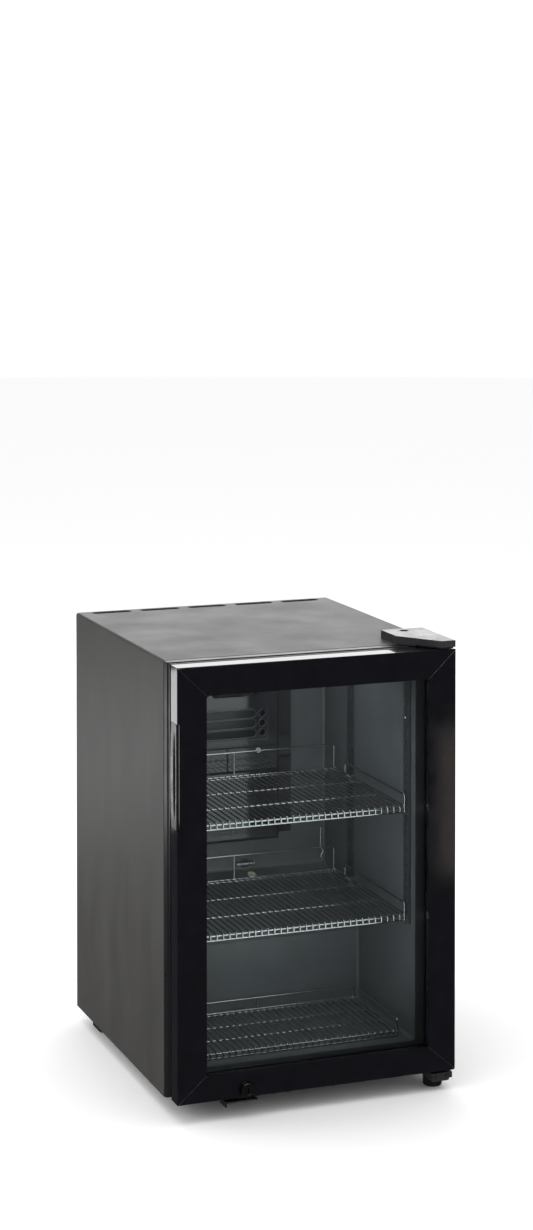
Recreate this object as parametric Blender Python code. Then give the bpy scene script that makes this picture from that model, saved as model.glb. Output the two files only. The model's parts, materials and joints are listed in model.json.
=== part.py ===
"""Under counter glass door fridge, built as separate named pieces.

Metres, +Z up, front towards -Y. The origin is on the floor, under the middle
of the overall box. The door hangs on the right and opens towards -Y.
"""
import math

import bmesh
import bpy
from mathutils import Matrix, Vector

GAP = 0.0003  # between the faces of pieces that touch

# Cabinet
WIDTH = 0.430
SHELL_HEIGHT = 0.6283
SHELL_DEPTH = 0.4362
FOOT_HEIGHT = 0.023
SHEET = 0.001
TOP_BEND = 0.004  # outer radius of the folds along the top edges
WALL = 0.035  # outside of the shell to the inside of the liner, at the sides
FLOOR_WALL = 0.0335
CEILING_WALL = 0.0353
REAR_WALL = 0.0747  # foam and the condenser channel behind it
LINER = 0.0015
FOAM = 0.030  # around the compressor step and behind the cavity
STEP_DEPTH = 0.142
STEP_RISE = 0.1081
STEP_SLOPE_RISE = 0.0719
SEAM = 0.0025  # groove between the face frame and the shell
NECK_INSET = 0.0026
NECK_TONGUE = 0.004
VENT_LENGTH = 0.065
VENT_WIDTH = 0.016
VENT_PITCH = 0.080
VENT_MARGIN = 0.025  # width that the row of vents leaves
VENT_FROM_REAR = 0.0137

# Face frame
FRAME_DEPTH = 0.0235
FRAME_STEP = 0.008  # depth of the narrower front part of the flange
FRAME_STEP_INSET = 0.0012

# Door
DOOR_RAISE = 0.007  # door's bottom above the shell's bottom
DOOR_DROP = 0.0004  # door's top below the shell's top
GASKET_GAP = 0.0075  # door's rear to the face frame
STILE_FACE = 0.0435
TOP_RAIL_FACE = 0.042
BOTTOM_RAIL_FACE = 0.0385
FRONT_LIP = 0.0075
REAR_LIP_INSET = 0.004
CHANNEL = 0.015  # how far the glass unit reaches under the lips
GLASS = 0.004
SPACER = 0.0095
SPACER_BAND = 0.012
PANE_CLEARANCE = 0.0005
REAR_LIP = 0.0028
DOOR_THICKNESS = FRONT_LIP + 2 * GLASS + SPACER + 4 * GAP + REAR_LIP
GASKET_SIDE_INSET = 0.015
GASKET_END_INSET = 0.008
GASKET_BAND = 0.016
HANDLE_DROP = 0.0799  # below the door's top
HANDLE_LENGTH = 0.152
HANDLE_DEPTH = 0.0142
HANDLE_FRONT = 0.0065
HANDLE_BULGE = 0.0048
HANDLE_NOTCH = 0.0025
HANDLE_STEPS = 10
SLOT_LENGTH = 0.1285
SLOT_WIDTH = 0.0095
SLOT_FRONT = 0.0110
SLOT_DEPTH = 0.0115
SLOT_STEPS = 8
SLOT_FULLNESS = 0.6

# Lock
LOCK_INSET = 0.103  # axis in from the door's left edge
LOCK_RISE = 0.0125
LOCK_RADIUS = 0.0105
LOCK_BARREL_RADIUS = 0.0085
LOCK_BARREL = 0.018
LOCK_PROUD = 0.009
PLUG_RADIUS = 0.006
CAM_THICKNESS = 0.002
CAM_REACH = 0.024
CAM_WIDTH = 0.008
CAM_POCKET = 0.0037
CAM_PLAY = 0.0008  # before and behind the cam in its pocket
KEY_SLOT = (0.0016, 0.007, 0.006)
STRIKE_PLATE = 0.002
STRIKE_LEFT = 0.028  # bracket's ends to the left and right of the lock's axis
STRIKE_RIGHT = 0.021
STRIKE_SETBACK = 0.010
STRIKE_REACH = 0.020
STRIKE_PLAY = 0.002
TAB_LENGTH = 0.026
TAB_DROP = 0.006

# Hinges
HINGE_INSET = 0.015  # axis in from the door's right edge
HINGE_SETBACK = 0.014  # axis behind the door's front
PIN_RADIUS = 0.004
PIN_REACH = 0.010
COVER_HEIGHT = 0.0122
COVER_WALL = 0.0015
COVER_WIDTH = 0.068
COVER_LENGTH = 0.119
COVER_STRAIGHT = 0.056  # straight left side, from the rear
COVER_TIP = 0.0225
TOP_PLATE = 0.003
COVER_CUT = 0.002
SCREW_HEAD_RADIUS = 0.0055
SCREW_WELL_RADIUS = 0.00675
SCREW_INSET_X = 0.038
SCREW_SETBACK = 0.102
SCREW_SHANK = 0.002
SCREW_HEAD = 0.003
SCREW_WELL = 0.006
CROSS_REACH = 0.0035
CROSS_HALF = 0.0006
BRACKET_INSET = 0.0045
BRACKET_WIDTH = 0.0335
BRACKET_LENGTH = 0.100
BRACKET_PLATE = 0.0042
LOWER_COVER_HEIGHT = 0.0037
LOWER_COVER_LENGTH = 0.052
LOWER_COVER_ROUND = 0.010
PAD_CLEARANCE = 0.003  # bracket's pad to the door's bottom
HINGE_FRONT = 0.001  # covers and bracket behind the door's front

# Feet
FOOT_RADIUS = 0.01435
STUD_RADIUS = 0.004
STUD_LENGTH = 0.008
FOOT_INSET_X = 0.022  # front right foot, in from the side
FOOT_SETBACK = 0.033  # front right foot, behind the door's front
LEFT_FOOT_INSET_X = 0.050
LEFT_FOOT_SETBACK = 0.120
REAR_FOOT_WIDTH = 0.030
REAR_FOOT_DEPTH = 0.039
REAR_FOOT_INSET_X = 0.0155
REAR_FOOT_FROM_REAR = 0.034

# Shelves and their strips
WIRE = 0.0025
WIRE_PITCH = 0.010
APRON = 0.009
SHELF_SIDE_CLEARANCE = 0.006
SHELF_SETBACK = 0.027  # shelf's front behind the face frame
SHELF_REAR_GAP = 0.014  # to the evaporator cover
FLOOR_SHELF_REAR_GAP = 0.025  # to the compressor step
FLOOR_SHELF_CLEARANCE = 0.017
SIDE_GUARD = 0.0195
SIDE_GUARD_LENGTH = 0.233
REAR_GUARD = 0.040
FLOOR_REAR_GUARD = 0.015
STRIP_SHEET = 0.0015
STRIP_WIDTH = 0.024
STRIP_FRONT = 0.0345  # front strip's centre behind the face frame
STRIP_REAR = 0.110  # rear strip's centre in front of the cavity's rear
STRIP_RISE = 0.060  # least height of a strip above the compressor step
STRIP_TOP_GAP = 0.0108
STRIP_HOLE_PITCH = 0.0125
STRIP_HOLE_WIDTH = 0.007
STRIP_HOLE_HEIGHT = 0.005
STRIP_END = 0.008
CLIP_WIDTH = 0.0062
CLIP_LEDGE = 0.009
CLIP_PLATE = 0.0015
CLIP_RISE = 0.004  # ledge above its hole's middle
CLIP_LEDGE_SHEET = 0.003
CLIP_DROP = 0.009
GUARD_POSTS = 5
CROSS_RAILS = 3
UPPER_SHELF_HOLE = 13  # hole that each shelf's clips hang in, from the bottom
LOWER_SHELF_HOLE = 0

# Cooling
EVAP_WIDTH = 0.234
EVAP_FACE_WIDTH = 0.164
EVAP_FLANGE = 0.009  # depth of the wider rim against the rear wall
EVAP_DEPTH = 0.050
EVAP_FLOOR_GAP = 0.0575  # cover's bottom above the cavity's slope
EVAP_WALL = 0.0025
GRILLE_SLOT_HEIGHT = 0.0115
GRILLE_ROWS = ((0.151, 0.0425), (0.1355, 0.0425), (0.120, 0.0425))  # (below the ceiling, half length)
FAN_ROWS = ((0.086, 0.031), (0.0705, 0.041), (0.055, 0.041), (0.0395, 0.031))
GRILLE_HOLE_OFFSET = 0.011  # from a slot's end to the middle of the round hole beside it
GRILLE_HOLE_RADIUS = 0.0055
PANEL_HALF = 0.0625  # sunk panel round the lower rows
PANEL_MARGIN = 0.0105
PANEL_SINK = 0.0010
FAN_DROP = 0.063  # fan's axis below the ceiling
FAN_RADIUS = 0.043
FAN_HUB = 0.012
FAN_BLADES = 5
FAN_SHAFT = 0.0025
BLADE_SHEET = 0.0012
BLADE_CHORD = 0.020
BLADE_PITCH = 24.0
MOTOR_RADIUS = 0.019
MOTOR_LENGTH = 0.026
MOTOR_FLANGE = 0.004
COIL_WIDTH = 0.150
COIL_DEPTH = 0.030
COIL_FAN_GAP = 0.084
COIL_FINS = 14
TUBE_RADIUS = 0.0024
DRAIN_RADIUS = 0.007
DRAIN_WALL = 0.0012
DRAIN_X = 0.050
DRAIN_FROM_REAR = 0.012
DRAIN_LENGTH = 0.060
DRAIN_SINK = 0.001
COMPRESSOR_RADIUS = 0.056
COMPRESSOR_HEIGHT = 0.112
COMPRESSOR_LEG = 0.010
COMPRESSOR_X = -0.060
COMPRESSOR_FROM_REAR = 0.104
PAN_SIZE = (0.110, 0.076)
PAN_HEIGHT = 0.014
PAN_WALL = 0.0015
PAN_SHIFT = 0.012
PAN_PAST_DRAIN = 0.010
RELAY_SIZE = (0.028, 0.050, 0.046)
RELAY_RISE = 0.030
CONDENSER_PITCH = 0.040
CONDENSER_MARGIN = 0.040  # straight runs to the side
CONDENSER_LOW = 0.035  # above the grille
CONDENSER_HIGH = 0.080  # below the top
PANEL_SHEET = 0.0008
PANEL_INSET = 0.0015
PANEL_SPLIT = 0.200
GRILLE_SLOT = (0.150, 0.006)
GRILLE_BAR = 0.032  # between the two columns of slots
GRILLE_RISE = 0.040
GRILLE_PITCH = 0.018
GRILLE_COUNT = 7
GLAND_RADIUS = 0.009
GLAND_HOLE = 0.0035
GLAND_COLLAR = 0.002
GLAND_PLACE = (0.025, 0.020)  # in from the side, above the bottom

# Controls and light
CONTROL_SIZE = (0.072, 0.050, 0.022)
CONTROL_INSET = 0.075  # middle to the cavity's right wall
CONTROL_SETBACK = 0.045
CONTROL_SHAFT = 0.003
CONTROL_SHAFT_LENGTH = 0.008
KNOB_RADIUS = 0.009
KNOB_LENGTH = 0.012
KNOB_TAPER = 0.001
ROCKER_SIZE = (0.0134, 0.006, 0.013)
ROCKER_TILT = 9.0
ROCKER_POCKET = 0.007
ROCKER_PLAY = 0.0015
ROCKER_SETBACK = 0.0025
LIGHT_HALF = 0.080
LIGHT_SIZE = (0.020, 0.010)
DIFFUSER_HEIGHT = 0.0035
LIGHT_SETBACK = 0.012
PROBE_RADIUS = 0.003
PROBE_LENGTH = 0.030
PROBE_X = 0.041
PROBE_RISE = 0.016
PROBE_CLIP = (0.010, 0.0018, 0.014)

# Planes that the pieces share
OVERALL_DEPTH = LOCK_PROUD + DOOR_THICKNESS + GASKET_GAP + FRAME_DEPTH + SEAM + SHELL_DEPTH
DOOR_FRONT = -OVERALL_DEPTH / 2 + LOCK_PROUD
DOOR_REAR = DOOR_FRONT + DOOR_THICKNESS
FRAME_FRONT = DOOR_REAR + GASKET_GAP
FRAME_REAR = FRAME_FRONT + FRAME_DEPTH
SHELL_FRONT = FRAME_REAR + SEAM
NECK_REAR = SHELL_FRONT + NECK_TONGUE
SHELL_REAR = SHELL_FRONT + SHELL_DEPTH
SHELL_BOTTOM = FOOT_HEIGHT
SHELL_TOP = SHELL_BOTTOM + SHELL_HEIGHT
DOOR_BOTTOM = SHELL_BOTTOM + DOOR_RAISE
DOOR_TOP = SHELL_TOP - DOOR_DROP
HALF = WIDTH / 2
INSIDE_HALF = HALF - SHEET - GAP  # half width between the shell's side sheets
CAVITY_HALF = HALF - WALL
FLOOR = SHELL_BOTTOM + FLOOR_WALL
CEILING = SHELL_TOP - CEILING_WALL
CAVITY_REAR = SHELL_REAR - REAR_WALL
STEP_FRONT = CAVITY_REAR - STEP_DEPTH
STEP_TOP = FLOOR + STEP_RISE
BASE_TOP = SHELL_BOTTOM + SHEET
BASE_UNDER = SHELL_BOTTOM - GAP
SLOPE = STEP_SLOPE_RISE / STEP_DEPTH
EVAP_FRONT = CAVITY_REAR - EVAP_DEPTH
EVAP_BOTTOM = STEP_TOP + STEP_SLOPE_RISE + EVAP_FLOOR_GAP
PANEL_REAR = SHELL_REAR - PANEL_INSET
PANEL_FRONT = PANEL_REAR - PANEL_SHEET
HINGE = Vector((HALF - HINGE_INSET, DOOR_FRONT + HINGE_SETBACK, DOOR_BOTTOM))
LOCK = Vector((LOCK_INSET - HALF, DOOR_FRONT, DOOR_BOTTOM + LOCK_RISE))


# ---- helpers

def make_object(name, bm):
    bmesh.ops.recalc_face_normals(bm, faces=bm.faces[:])
    mesh = bpy.data.meshes.new(name)
    bm.to_mesh(mesh)
    bm.free()
    piece = bpy.data.objects.new(name, mesh)
    bpy.context.scene.collection.objects.link(piece)
    return piece


def add_loops(bm, loops, closed):
    """Skins a stack of equal loops of points; closed joins the last loop to the first."""
    rows = [[bm.verts.new(point) for point in loop] for loop in loops]
    pairs = list(zip(rows, rows[1:]))
    if closed:
        pairs.append((rows[-1], rows[0]))
    for lower, upper in pairs:
        for i in range(len(lower)):
            j = (i + 1) % len(lower)
            bm.faces.new((lower[i], lower[j], upper[j], upper[i]))
    if not closed:
        bm.faces.new(rows[0])
        bm.faces.new(rows[-1])


def skin(name, loops, closed=False):
    bm = bmesh.new()
    add_loops(bm, loops, closed)
    return make_object(name, bm)


def add_box(bm, low, high):
    size = Vector(high) - Vector(low)
    middle = (Vector(high) + Vector(low)) / 2
    place = Matrix.Translation(middle) @ Matrix.Diagonal((*size, 1))
    bmesh.ops.create_cube(bm, size=1, matrix=place)


def boxes(name, spans):
    bm = bmesh.new()
    for low, high in spans:
        add_box(bm, low, high)
    return make_object(name, bm)


def box(name, low, high):
    return boxes(name, [(low, high)])


def prism(name, outline, axis, low, high):
    """Extrudes a flat outline along an axis; the outline's two values are the other axes in order."""
    def at(point, height):
        place = list(point)
        place.insert("xyz".index(axis), height)
        return place
    return skin(name, [[at(point, height) for point in outline] for height in (low, high)])


def circle(radius, segments):
    turn = 2 * math.pi / segments
    return [(radius * math.cos(turn * (k + 0.5)), radius * math.sin(turn * (k + 0.5)))
            for k in range(segments)]


def turned(name, centre, axis, stations, segments=20, hollow=False):
    """Turned piece from (height, radius) stations along an axis, with a bore if hollow."""
    def at(point, height):
        place = list(point)
        place.insert("xyz".index(axis), height)
        return Vector(centre) + Vector(place)
    loops = [[at(point, height) for point in circle(radius, segments)] for height, radius in stations]
    return skin(name, loops, closed=hollow)


def rectangle_ring(name, section):
    """Picture-frame ring from a closed section of (half width, bottom, top, depth) values."""
    return skin(name, [[(-half, depth, low), (half, depth, low), (half, depth, high), (-half, depth, high)]
                       for half, low, high, depth in section], closed=True)


def stadium(middle, half_length, half_width, steps):
    """Outline of a slot with round ends, in its own two axes."""
    points = []
    for side in (1, -1):
        for k in range(steps + 1):
            angle = math.pi * (k / steps - 0.5) * side if side > 0 else math.pi * (k / steps + 0.5)
            across = half_width * math.sin(angle)
            along = side * (half_length - half_width) + half_width * math.cos(angle)
            points.append((middle[0] + along, middle[1] + across))
    return points


def hide(tool):
    tool.hide_render = True
    tool.display_type = "WIRE"


def combine(piece, tool, operation):
    hide(tool)
    modifier = piece.modifiers.new(tool.name, "BOOLEAN")
    modifier.operation = operation
    modifier.object = tool
    modifier.solver = "EXACT"


def cut(piece, *tools):
    for tool in tools:
        combine(piece, tool, "DIFFERENCE")


def join(piece, *tools):
    for tool in tools:
        combine(piece, tool, "UNION")


def finish(piece, colour, roughness, metallic=0.0):
    material = bpy.data.materials.new(piece.name + "_finish")
    material.use_nodes = True
    shader = material.node_tree.nodes["Principled BSDF"]
    shader.inputs["Base Color"].default_value = (*colour, 1)
    shader.inputs["Roughness"].default_value = roughness
    shader.inputs["Metallic"].default_value = metallic
    material.diffuse_color = (*colour, 1)
    piece.data.materials.clear()
    piece.data.materials.append(material)
    return piece


def pivot(name, place):
    empty = bpy.data.objects.new(name, None)
    empty.location = place
    bpy.context.scene.collection.objects.link(empty)
    return empty


def hang(pieces, empty):
    for piece in pieces:
        piece.parent = empty
        piece.location = piece.location - empty.location


def set_origin(piece, place):
    piece.data.transform(Matrix.Translation(-Vector(place)))
    piece.location = place


def painted(piece):
    return finish(piece, (0.075, 0.074, 0.073), 0.55)


def black_plastic(piece):
    return finish(piece, (0.018, 0.018, 0.021), 0.35)


def liner_plastic(piece):
    return finish(piece, (0.035, 0.036, 0.040), 0.30)


def bright_steel(piece):
    return finish(piece, (0.55, 0.55, 0.56), 0.35, 1.0)


def dark_steel(piece):
    return finish(piece, (0.03, 0.03, 0.032), 0.40, 0.6)


def rubber(piece):
    return finish(piece, (0.012, 0.012, 0.013), 0.75)


# ---- cabinet body

def cavity_outline(front, floor, step, rear, ceiling):
    """Depth and height outline of the cavity, each wall moved out by its own distance."""
    lift = step * math.hypot(1, SLOPE)

    def slope_height(depth):
        return STEP_TOP - lift + (depth - STEP_FRONT) * SLOPE
    return [(front, FLOOR - floor),
            (STEP_FRONT + step, FLOOR - floor),
            (STEP_FRONT + step, slope_height(STEP_FRONT + step)),
            (CAVITY_REAR + rear, slope_height(CAVITY_REAR + rear)),
            (CAVITY_REAR + rear, CEILING + ceiling),
            (front, CEILING + ceiling)]


def drain_place():
    return (DRAIN_X, CAVITY_REAR - DRAIN_FROM_REAR, 0)


def drain_height():
    return STEP_TOP + (drain_place()[1] - STEP_FRONT) * SLOPE


def make_shell():
    steps = 4
    outside = [(-HALF, SHELL_BOTTOM)]
    inside = [(-HALF + SHEET, SHELL_BOTTOM)]
    for side in (-1, 1):
        for k in range(steps + 1):
            angle = math.pi / 2 * (k / steps if side < 0 else 1 - k / steps)
            across = -side * math.cos(angle)
            centre = (side * (HALF - TOP_BEND), SHELL_TOP - TOP_BEND)
            for line, radius in ((outside, TOP_BEND), (inside, TOP_BEND - SHEET)):
                line.append((centre[0] - across * radius, centre[1] + math.sin(angle) * radius))
    outside.append((HALF, SHELL_BOTTOM))
    inside.append((HALF - SHEET, SHELL_BOTTOM))
    shell = prism("outer_shell", outside + inside[::-1], "y", SHELL_FRONT, SHELL_REAR)
    count = int((WIDTH - VENT_MARGIN) / VENT_PITCH)
    for k in range(count):
        middle = ((k - (count - 1) / 2) * VENT_PITCH, SHELL_REAR - VENT_FROM_REAR)
        outline = stadium(middle, VENT_LENGTH / 2, VENT_WIDTH / 2, 6)
        cut(shell, prism(f"vent_cutter_{k}", outline, "z", SHELL_TOP - 2 * SHEET, SHELL_TOP + SHEET))
    return painted(shell)


def make_base():
    base = box("base_plate", (-INSIDE_HALF, SHELL_FRONT, SHELL_BOTTOM),
               (INSIDE_HALF, PANEL_FRONT - GAP, BASE_TOP))
    return dark_steel(base)


def make_foam():
    front = NECK_REAR + GAP
    rear = LINER + FOAM
    outline = cavity_outline(front, 0, rear, rear, 0)
    outline[0] = (front, BASE_TOP + GAP)
    outline[1] = (outline[1][0], BASE_TOP + GAP)
    top = SHELL_TOP - SHEET - GAP
    outline[4] = (outline[4][0], top)
    outline[5] = (front, top)
    foam = prism("foam_insulation", outline, "x", -INSIDE_HALF, INSIDE_HALF)
    clearance = LINER + GAP
    hollow = cavity_outline(front - SHEET, clearance, clearance, clearance, clearance)
    cut(foam, prism("foam_hollow", hollow, "x", -CAVITY_HALF - clearance, CAVITY_HALF + clearance))
    # The folds along the shell's top edges take the foam's corners.
    for name, side in (("fold_cutter_left", -1), ("fold_cutter_right", 1)):
        inner = side * (INSIDE_HALF - TOP_BEND)
        outer = side * HALF
        cut(foam, box(name, (min(inner, outer), front - SHEET, top - TOP_BEND),
                      (max(inner, outer), SHELL_REAR, top + SHEET)))
    cut(foam, drain_cutter("foam_drain_cutter"))
    return finish(foam, (0.75, 0.68, 0.45), 0.8)


def make_liner():
    front = NECK_REAR + GAP
    outside = cavity_outline(front, LINER, LINER, LINER, LINER)
    liner = prism("inner_liner", outside, "x", -CAVITY_HALF - LINER, CAVITY_HALF + LINER)
    inside = cavity_outline(front - SHEET, 0, 0, 0, 0)
    cut(liner, prism("liner_hollow", inside, "x", -CAVITY_HALF, CAVITY_HALF))
    cut(liner, drain_cutter("liner_drain_cutter"))
    return liner_plastic(liner)


def make_face_frame():
    chamfer = DOOR_RAISE / FRAME_DEPTH

    def station(inset, depth, low_inset=0.0):
        bottom = DOOR_BOTTOM - chamfer * (depth - FRAME_FRONT) + low_inset
        return (HALF - inset, bottom + inset, SHELL_TOP - inset, depth)
    step = FRAME_FRONT + FRAME_STEP
    neck_bottom = SHELL_BOTTOM + NECK_INSET
    section = [(CAVITY_HALF, FLOOR, CEILING, FRAME_FRONT),
               station(FRAME_STEP_INSET, FRAME_FRONT),
               station(FRAME_STEP_INSET, step),
               station(0, step + FRAME_STEP_INSET),
               station(0, FRAME_REAR),
               (HALF - NECK_INSET, neck_bottom, SHELL_TOP - NECK_INSET, FRAME_REAR),
               (HALF - NECK_INSET, neck_bottom, SHELL_TOP - NECK_INSET, NECK_REAR),
               (CAVITY_HALF, FLOOR, CEILING, NECK_REAR)]
    return black_plastic(rectangle_ring("face_frame", section))


def make_back():
    half = INSIDE_HALF
    top = SHELL_TOP - TOP_BEND - GAP
    panel = box("rear_panel", (-half, PANEL_FRONT, PANEL_SPLIT + GAP), (half, PANEL_REAR, top))
    painted(panel)
    grille = box("compressor_grille", (-half, PANEL_FRONT, SHELL_BOTTOM + GAP),
                 (half, PANEL_REAR, PANEL_SPLIT))
    spans = []
    length, height = GRILLE_SLOT
    for side in (-1, 1):
        for row in range(GRILLE_COUNT):
            middle = (side * (length + GRILLE_BAR) / 2, SHELL_BOTTOM + GRILLE_RISE + row * GRILLE_PITCH)
            spans.append(((middle[0] - length / 2, PANEL_FRONT - SHEET, middle[1] - height / 2),
                          (middle[0] + length / 2, PANEL_REAR + SHEET, middle[1] + height / 2)))
    cut(grille, boxes("grille_slots", spans))
    gland_place = (half - GLAND_PLACE[0], 0, SHELL_BOTTOM + GLAND_PLACE[1])
    cut(grille, turned("gland_cutter", gland_place, "y",
                       [(PANEL_FRONT - SHEET, GLAND_RADIUS), (PANEL_REAR + SHEET, GLAND_RADIUS)], 16))
    painted(grille)
    neck = GLAND_RADIUS - GAP
    collar = GLAND_RADIUS + GLAND_COLLAR
    front = PANEL_FRONT - 3 * GLAND_COLLAR
    rear = PANEL_REAR + PANEL_INSET - GAP
    stations = [(front, GLAND_HOLE), (front, collar), (PANEL_FRONT - GAP, collar), (PANEL_FRONT - GAP, neck),
                (rear, neck), (rear, GLAND_HOLE)]
    rubber(turned("cable_gland", gland_place, "y", stations, 16, hollow=True))


# ---- cooling

def drain_cutter(name):
    x, y, _ = drain_place()
    radius = DRAIN_RADIUS + GAP
    return turned(name, (x, y, 0), "z", [(BASE_TOP, radius), (EVAP_BOTTOM, radius)], 16)


def make_evaporator():
    half = EVAP_FACE_WIDTH / 2
    rim = EVAP_WIDTH / 2
    rear = CAVITY_REAR - GAP
    rim_front = rear - EVAP_FLANGE
    top = CEILING - GAP
    wall = EVAP_WALL
    cover = box("evaporator_cover", (-half, EVAP_FRONT, EVAP_BOTTOM), (half, rear, top))
    join(cover, box("cover_rim", (-rim, rim_front, EVAP_BOTTOM), (rim, rear, top)))
    cut(cover, box("cover_hollow", (wall - half, EVAP_FRONT + wall, EVAP_BOTTOM + wall),
                   (half - wall, rear + SHEET, top + SHEET)))
    cut(cover, box("rim_hollow", (wall - rim, rim_front + wall, EVAP_BOTTOM + wall),
                   (rim - wall, rear + SHEET, top + SHEET)))
    lowest = CEILING - GRILLE_ROWS[0][0]
    highest = CEILING - GRILLE_ROWS[-1][0]
    cut(cover, box("sunk_panel", (-PANEL_HALF, EVAP_FRONT - SHEET, lowest - PANEL_MARGIN),
                   (PANEL_HALF, EVAP_FRONT + PANEL_SINK, highest + PANEL_MARGIN)))
    low = EVAP_FRONT - SHEET
    high = EVAP_FRONT + 2 * wall
    for k, (drop, reach) in enumerate(GRILLE_ROWS + FAN_ROWS):
        height = CEILING - drop
        outline = stadium((0, height), reach, GRILLE_SLOT_HEIGHT / 2, 4)
        cut(cover, prism(f"grille_row_{k}", outline, "y", low, high))
        for side in (-1, 1):
            place = (side * (reach + GRILLE_HOLE_OFFSET), 0, height)
            cut(cover, turned(f"grille_hole_{k}_{side}", place, "y",
                              [(low, GRILLE_HOLE_RADIUS), (high, GRILLE_HOLE_RADIUS)], 8))
    black_plastic(cover)
    make_coil(rear - GAP)
    make_fan(rear)
    make_drain_and_probe()


def make_coil(rear):
    front = rear - COIL_DEPTH
    bottom = EVAP_BOTTOM + EVAP_WALL + GAP
    top = CEILING - FAN_DROP - FAN_RADIUS - COIL_FAN_GAP
    half = COIL_WIDTH / 2
    coil = box("evaporator_coil", (-half, front, bottom), (half, rear, top))
    pitch = COIL_WIDTH / COIL_FINS
    spans = []
    for k in range(COIL_FINS - 1):
        x = (k + 1) * pitch - half
        spans.append(((x - pitch / 3, front - SHEET, bottom - SHEET),
                      (x + pitch / 3, rear - COIL_DEPTH / 4, top + SHEET)))
    cut(coil, boxes("fin_gaps", spans))
    finish(coil, (0.7, 0.7, 0.72), 0.4, 1.0)


def make_fan(rear):
    axis = Vector((0, 0, CEILING - FAN_DROP))
    inside = EVAP_FRONT + EVAP_WALL
    motor_front = rear - MOTOR_LENGTH
    plate = MOTOR_RADIUS + MOTOR_FLANGE
    plate_front = rear - 3 * SHEET
    chamfer = 2 * SHEET
    stations = [(rear - GAP, plate), (plate_front, plate), (plate_front, MOTOR_RADIUS),
                (motor_front + chamfer, MOTOR_RADIUS), (motor_front, MOTOR_RADIUS - chamfer),
                (motor_front, FAN_SHAFT), (inside + 2 * chamfer, FAN_SHAFT)]
    dark_steel(turned("fan_motor", axis, "y", stations, 16))

    hub_rear = motor_front - 2 * GAP
    hub_front = inside + chamfer
    bore = FAN_SHAFT + GAP
    stations = [(hub_rear, bore), (hub_rear, FAN_HUB), (hub_front, FAN_HUB), (hub_front, bore)]
    fan = turned("fan_blades", axis, "y", stations, 16, hollow=True)
    for k in range(FAN_BLADES):
        bm = bmesh.new()
        add_box(bm, (FAN_HUB - chamfer, -BLADE_SHEET / 2, -BLADE_CHORD / 2),
                (FAN_RADIUS, BLADE_SHEET / 2, BLADE_CHORD / 2))
        place = Matrix.Translation((0, (hub_front + hub_rear) / 2, axis.z))
        place = place @ Matrix.Rotation(2 * math.pi * k / FAN_BLADES, 4, "Y")
        place = place @ Matrix.Rotation(math.radians(BLADE_PITCH), 4, "X")
        bmesh.ops.transform(bm, matrix=place, verts=bm.verts[:])
        join(fan, make_object(f"blade_{k}", bm))
    set_origin(fan, (0, hub_rear, axis.z))
    black_plastic(fan)


def make_drain_and_probe():
    top = drain_height() - DRAIN_SINK
    foot = top - DRAIN_LENGTH
    inner = DRAIN_RADIUS - DRAIN_WALL
    stations = [(top, inner), (top, DRAIN_RADIUS), (foot, DRAIN_RADIUS), (foot, inner)]
    finish(turned("drain_tube", drain_place(), "z", stations, 16, hollow=True), (0.6, 0.6, 0.6), 0.5)

    width, sheet, height = PROBE_CLIP
    rear = CAVITY_REAR - GAP
    middle = drain_height() + PROBE_RISE
    clip = box("probe_clip", (PROBE_X - width / 2, rear - sheet, middle - height / 2),
               (PROBE_X + width / 2, rear, middle + height / 2))
    black_plastic(clip)
    place = (0, rear - sheet - GAP - PROBE_RADIUS, middle)
    left = PROBE_X - PROBE_LENGTH / 2
    stations = [(left, PROBE_RADIUS * 0.6), (left + PROBE_RADIUS, PROBE_RADIUS),
                (PROBE_X + PROBE_LENGTH / 2, PROBE_RADIUS)]
    bright_steel(turned("temperature_probe", place, "x", stations, 12))


def make_condensing_unit():
    centre = (COMPRESSOR_X, SHELL_REAR - COMPRESSOR_FROM_REAR, BASE_TOP + GAP)
    radius = COMPRESSOR_RADIUS
    foot = COMPRESSOR_LEG
    top = COMPRESSOR_HEIGHT
    stations = [(foot - 0.003, radius * 0.70), (foot + 0.004, radius * 0.92), (foot + 0.014, radius),
                (top - 0.034, radius), (top - 0.026, radius * 0.96), (top - 0.012, radius * 0.80),
                (top - 0.003, radius * 0.50), (top, radius * 0.25)]
    compressor = turned("compressor", centre, "z", stations, 20)
    reach = radius - 0.001
    plate = box("compressor_plate", (centre[0] - reach, centre[1] - reach + 0.006, centre[2] + foot - 0.004),
                (centre[0] + reach, centre[1] + reach - 0.006, centre[2] + foot - 0.0015))
    join(compressor, plate)
    for i in (-1, 1):
        for j in (-1, 1):
            leg = (centre[0] + i * (reach - 0.010), centre[1] + j * (reach - 0.016), centre[2])
            join(compressor, turned(f"leg_{i}_{j}", leg, "z", [(0, 0.007), (foot - 0.003, 0.007)], 10))
    finish(compressor, (0.015, 0.015, 0.016), 0.4)

    width, depth = PAN_SIZE
    low = Vector((centre[0] - width / 2, centre[1] - depth / 2 + PAN_SHIFT, centre[2] + top + GAP))
    high = low + Vector((width, depth, PAN_HEIGHT))
    # The pan reaches under the drain tube.
    high.x = max(high.x, DRAIN_X + DRAIN_RADIUS + PAN_PAST_DRAIN)
    pan = box("condensate_pan", low, high)
    wall = Vector((PAN_WALL, PAN_WALL, PAN_WALL))
    cut(pan, box("pan_hollow", low + wall, high - Vector((PAN_WALL, PAN_WALL, -SHEET))))
    finish(pan, (0.5, 0.5, 0.5), 0.6)

    size = Vector(RELAY_SIZE)
    low = Vector((centre[0] + radius + GAP, centre[1] - size.y / 2, centre[2] + RELAY_RISE))
    relay = box("start_relay_box", low, low + size)
    black_plastic(relay)

    make_condenser()


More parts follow.
